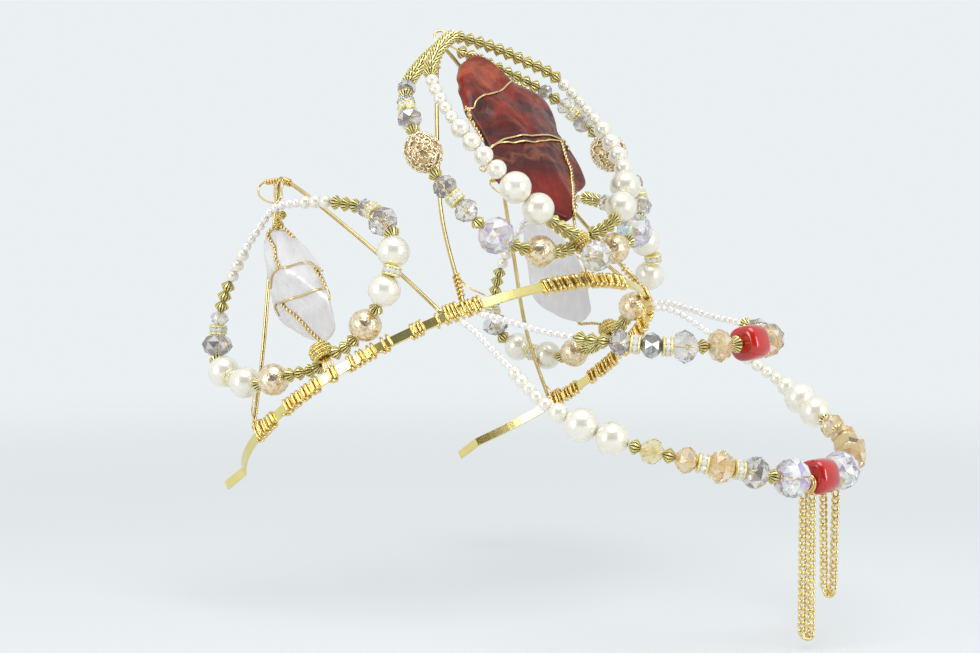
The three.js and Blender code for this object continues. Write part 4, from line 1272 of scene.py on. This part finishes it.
for name, (x, drop, spread) in CHAINS.items():
    hook = tipped((x, *HOOK_HEIGHT))
    body = f"{name}_loop"
    ring = chain_ring(hook - UP * RING_DROP, math.copysign(1, x))
    build(f"{name}_ring_wire", ring, f"{name}_ring", body, tilt=False)
    route = chain_route(hook, drop, spread)
    count = round(route.length / LINK_PITCH)
    shape = Shape()
    for index in range(count):
        start, end = route.at(index / count), route.at((index + 1) / count)
        middle, half = (start + end) / 2, (end - start).normalized() * 0.5
        shape.put(link(), middle, middle + half, math.radians(-45 if index < count / 2 else 45))
    build(f"{name}_links", shape, name, body, tilt=False)

# Stage, light and camera

PALE = (0.83, 0.87, 0.89, 1)
FLOOR_COLOUR = (0.90, 0.93, 0.95, 1)
DARK_ROOM = (0.10, 0.10, 0.085, 1)
FLOOR_LEVEL = cad_box[0][2] - 0.002
FLOOR_REACH = 6.0
# The floor turns into the background between these distances
FADE_FROM = 0.16
FADE_TO = 0.7
VIEW_FROM = Vector((-0.5642, -0.5455, 0.0764))
VIEW_RIGHT = Vector((0.6826, -0.7308, 0))
VIEW_UP = Vector((0.0512, 0.0479, 0.9975))
LENS = 88.32
SENSOR = 36
to_camera = VIEW_FROM.normalized()


def seen_rays(tree):
    """1 for the rays that look at the background: camera, transmission and glossy."""
    total = tree.add("LightPath", output="Is Camera Ray")
    rays = total.node.outputs
    for kind in ("Is Transmission Ray", "Is Glossy Ray"):
        total = tree.add("Math", {0: total, 1: rays[kind]}, operation="ADD", use_clamp=True)
    return total


def stand(name, data, location, rotation):
    """A lamp or the camera, put in its place."""
    item = bpy.data.objects.new(name, data)
    item.location = location
    item.rotation_euler = rotation.to_euler()
    bpy.context.scene.collection.objects.link(item)
    return item


floor_mesh = bpy.data.meshes.new("floor")
corners = ((-1, -1), (1, -1), (1, 1), (-1, 1))
floor_mesh.from_pydata([(FLOOR_REACH * x, FLOOR_REACH * y, FLOOR_LEVEL) for x, y in corners], [],
                       [(0, 1, 2, 3)])
floor = bpy.data.objects.new("floor", floor_mesh)
bpy.context.scene.collection.objects.link(floor)
floor_look = bpy.data.materials.new("floor")
tree = Tree(floor_look)
tree.finish(Base_Color=FLOOR_COLOUR, Roughness=1, Specular_IOR_Level=0)
away = tree.add("VectorMath", {0: tree.add("TexCoord", output="Object")}, "Value", operation="LENGTH")
fade = tree.add("MapRange", {"Value": away, "From Min": FADE_FROM, "From Max": FADE_TO, "To Min": 0.5},
                interpolation_type="SMOOTHSTEP")
share = tree.add("Math", {0: fade, 1: seen_rays(tree)}, operation="MULTIPLY")
blend = tree.add("MixShader", {"Fac": share, 1: tree.nodes["Principled BSDF"].outputs["BSDF"],
                               2: tree.add("Emission", {"Color": PALE})})
tree.fill(tree.nodes["Material Output"], {"Surface": blend})
floor_mesh.materials.append(floor_look)

world = bpy.data.worlds.new("studio")
bpy.context.scene.world = world
tree = Tree(world)
strength = tree.add("MapRange", {"Value": seen_rays(tree), "To Min": 0.45, "To Max": 1.0})
# A dark room lies behind the photographer, and only polished surfaces show it
facing = tree.add("VectorMath", {0: tree.add("TexCoord", output="Generated"), 1: to_camera}, "Value",
                  operation="DOT_PRODUCT")
room = tree.add("MapRange", {"Value": facing, "From Min": 0.45, "From Max": 0.85},
                interpolation_type="SMOOTHSTEP")
glossy = tree.add("LightPath", output="Is Glossy Ray")
amount = tree.add("Math", {0: room, 1: glossy}, operation="MULTIPLY")
colour = tree.add("Mix", {"Factor": amount, 6: PALE, 7: DARK_ROOM}, 2, data_type="RGBA")
tree.fill(tree.nodes["Background"], {"Strength": strength, "Color": colour})

LAMP_DISTANCE = 0.9
# Degrees aside of the camera and up, width, height and power
LAMPS = {"left_box": (-52, 8, 0.30, 0.46, 2.1), "right_box": (50, 8, 0.30, 0.46, 2.1),
         "top_box": (10, 68, 0.7, 0.7, 4.2)}
for name, (across, up, wide, tall, power) in LAMPS.items():
    lamp = bpy.data.lights.new(name, "AREA")
    lamp.shape = "ELLIPSE"
    lamp.size = wide
    lamp.size_y = tall
    lamp.energy = power
    sideways = swung(to_camera, VIEW_RIGHT, math.radians(across))
    place = swung(sideways, UP, math.radians(up))
    stand(name, lamp, place.normalized() * LAMP_DISTANCE, (-place).to_track_quat("-Z", "Y"))

view = bpy.data.cameras.new("view")
view.lens = LENS
view.sensor_width = SENSOR
view.clip_start = 0.01
axes = Matrix((VIEW_RIGHT, VIEW_UP, VIEW_RIGHT.cross(VIEW_UP)))
bpy.context.scene.camera = stand("view", view, VIEW_FROM, axes.transposed())
bpy.context.scene.view_settings.view_transform = "Standard"
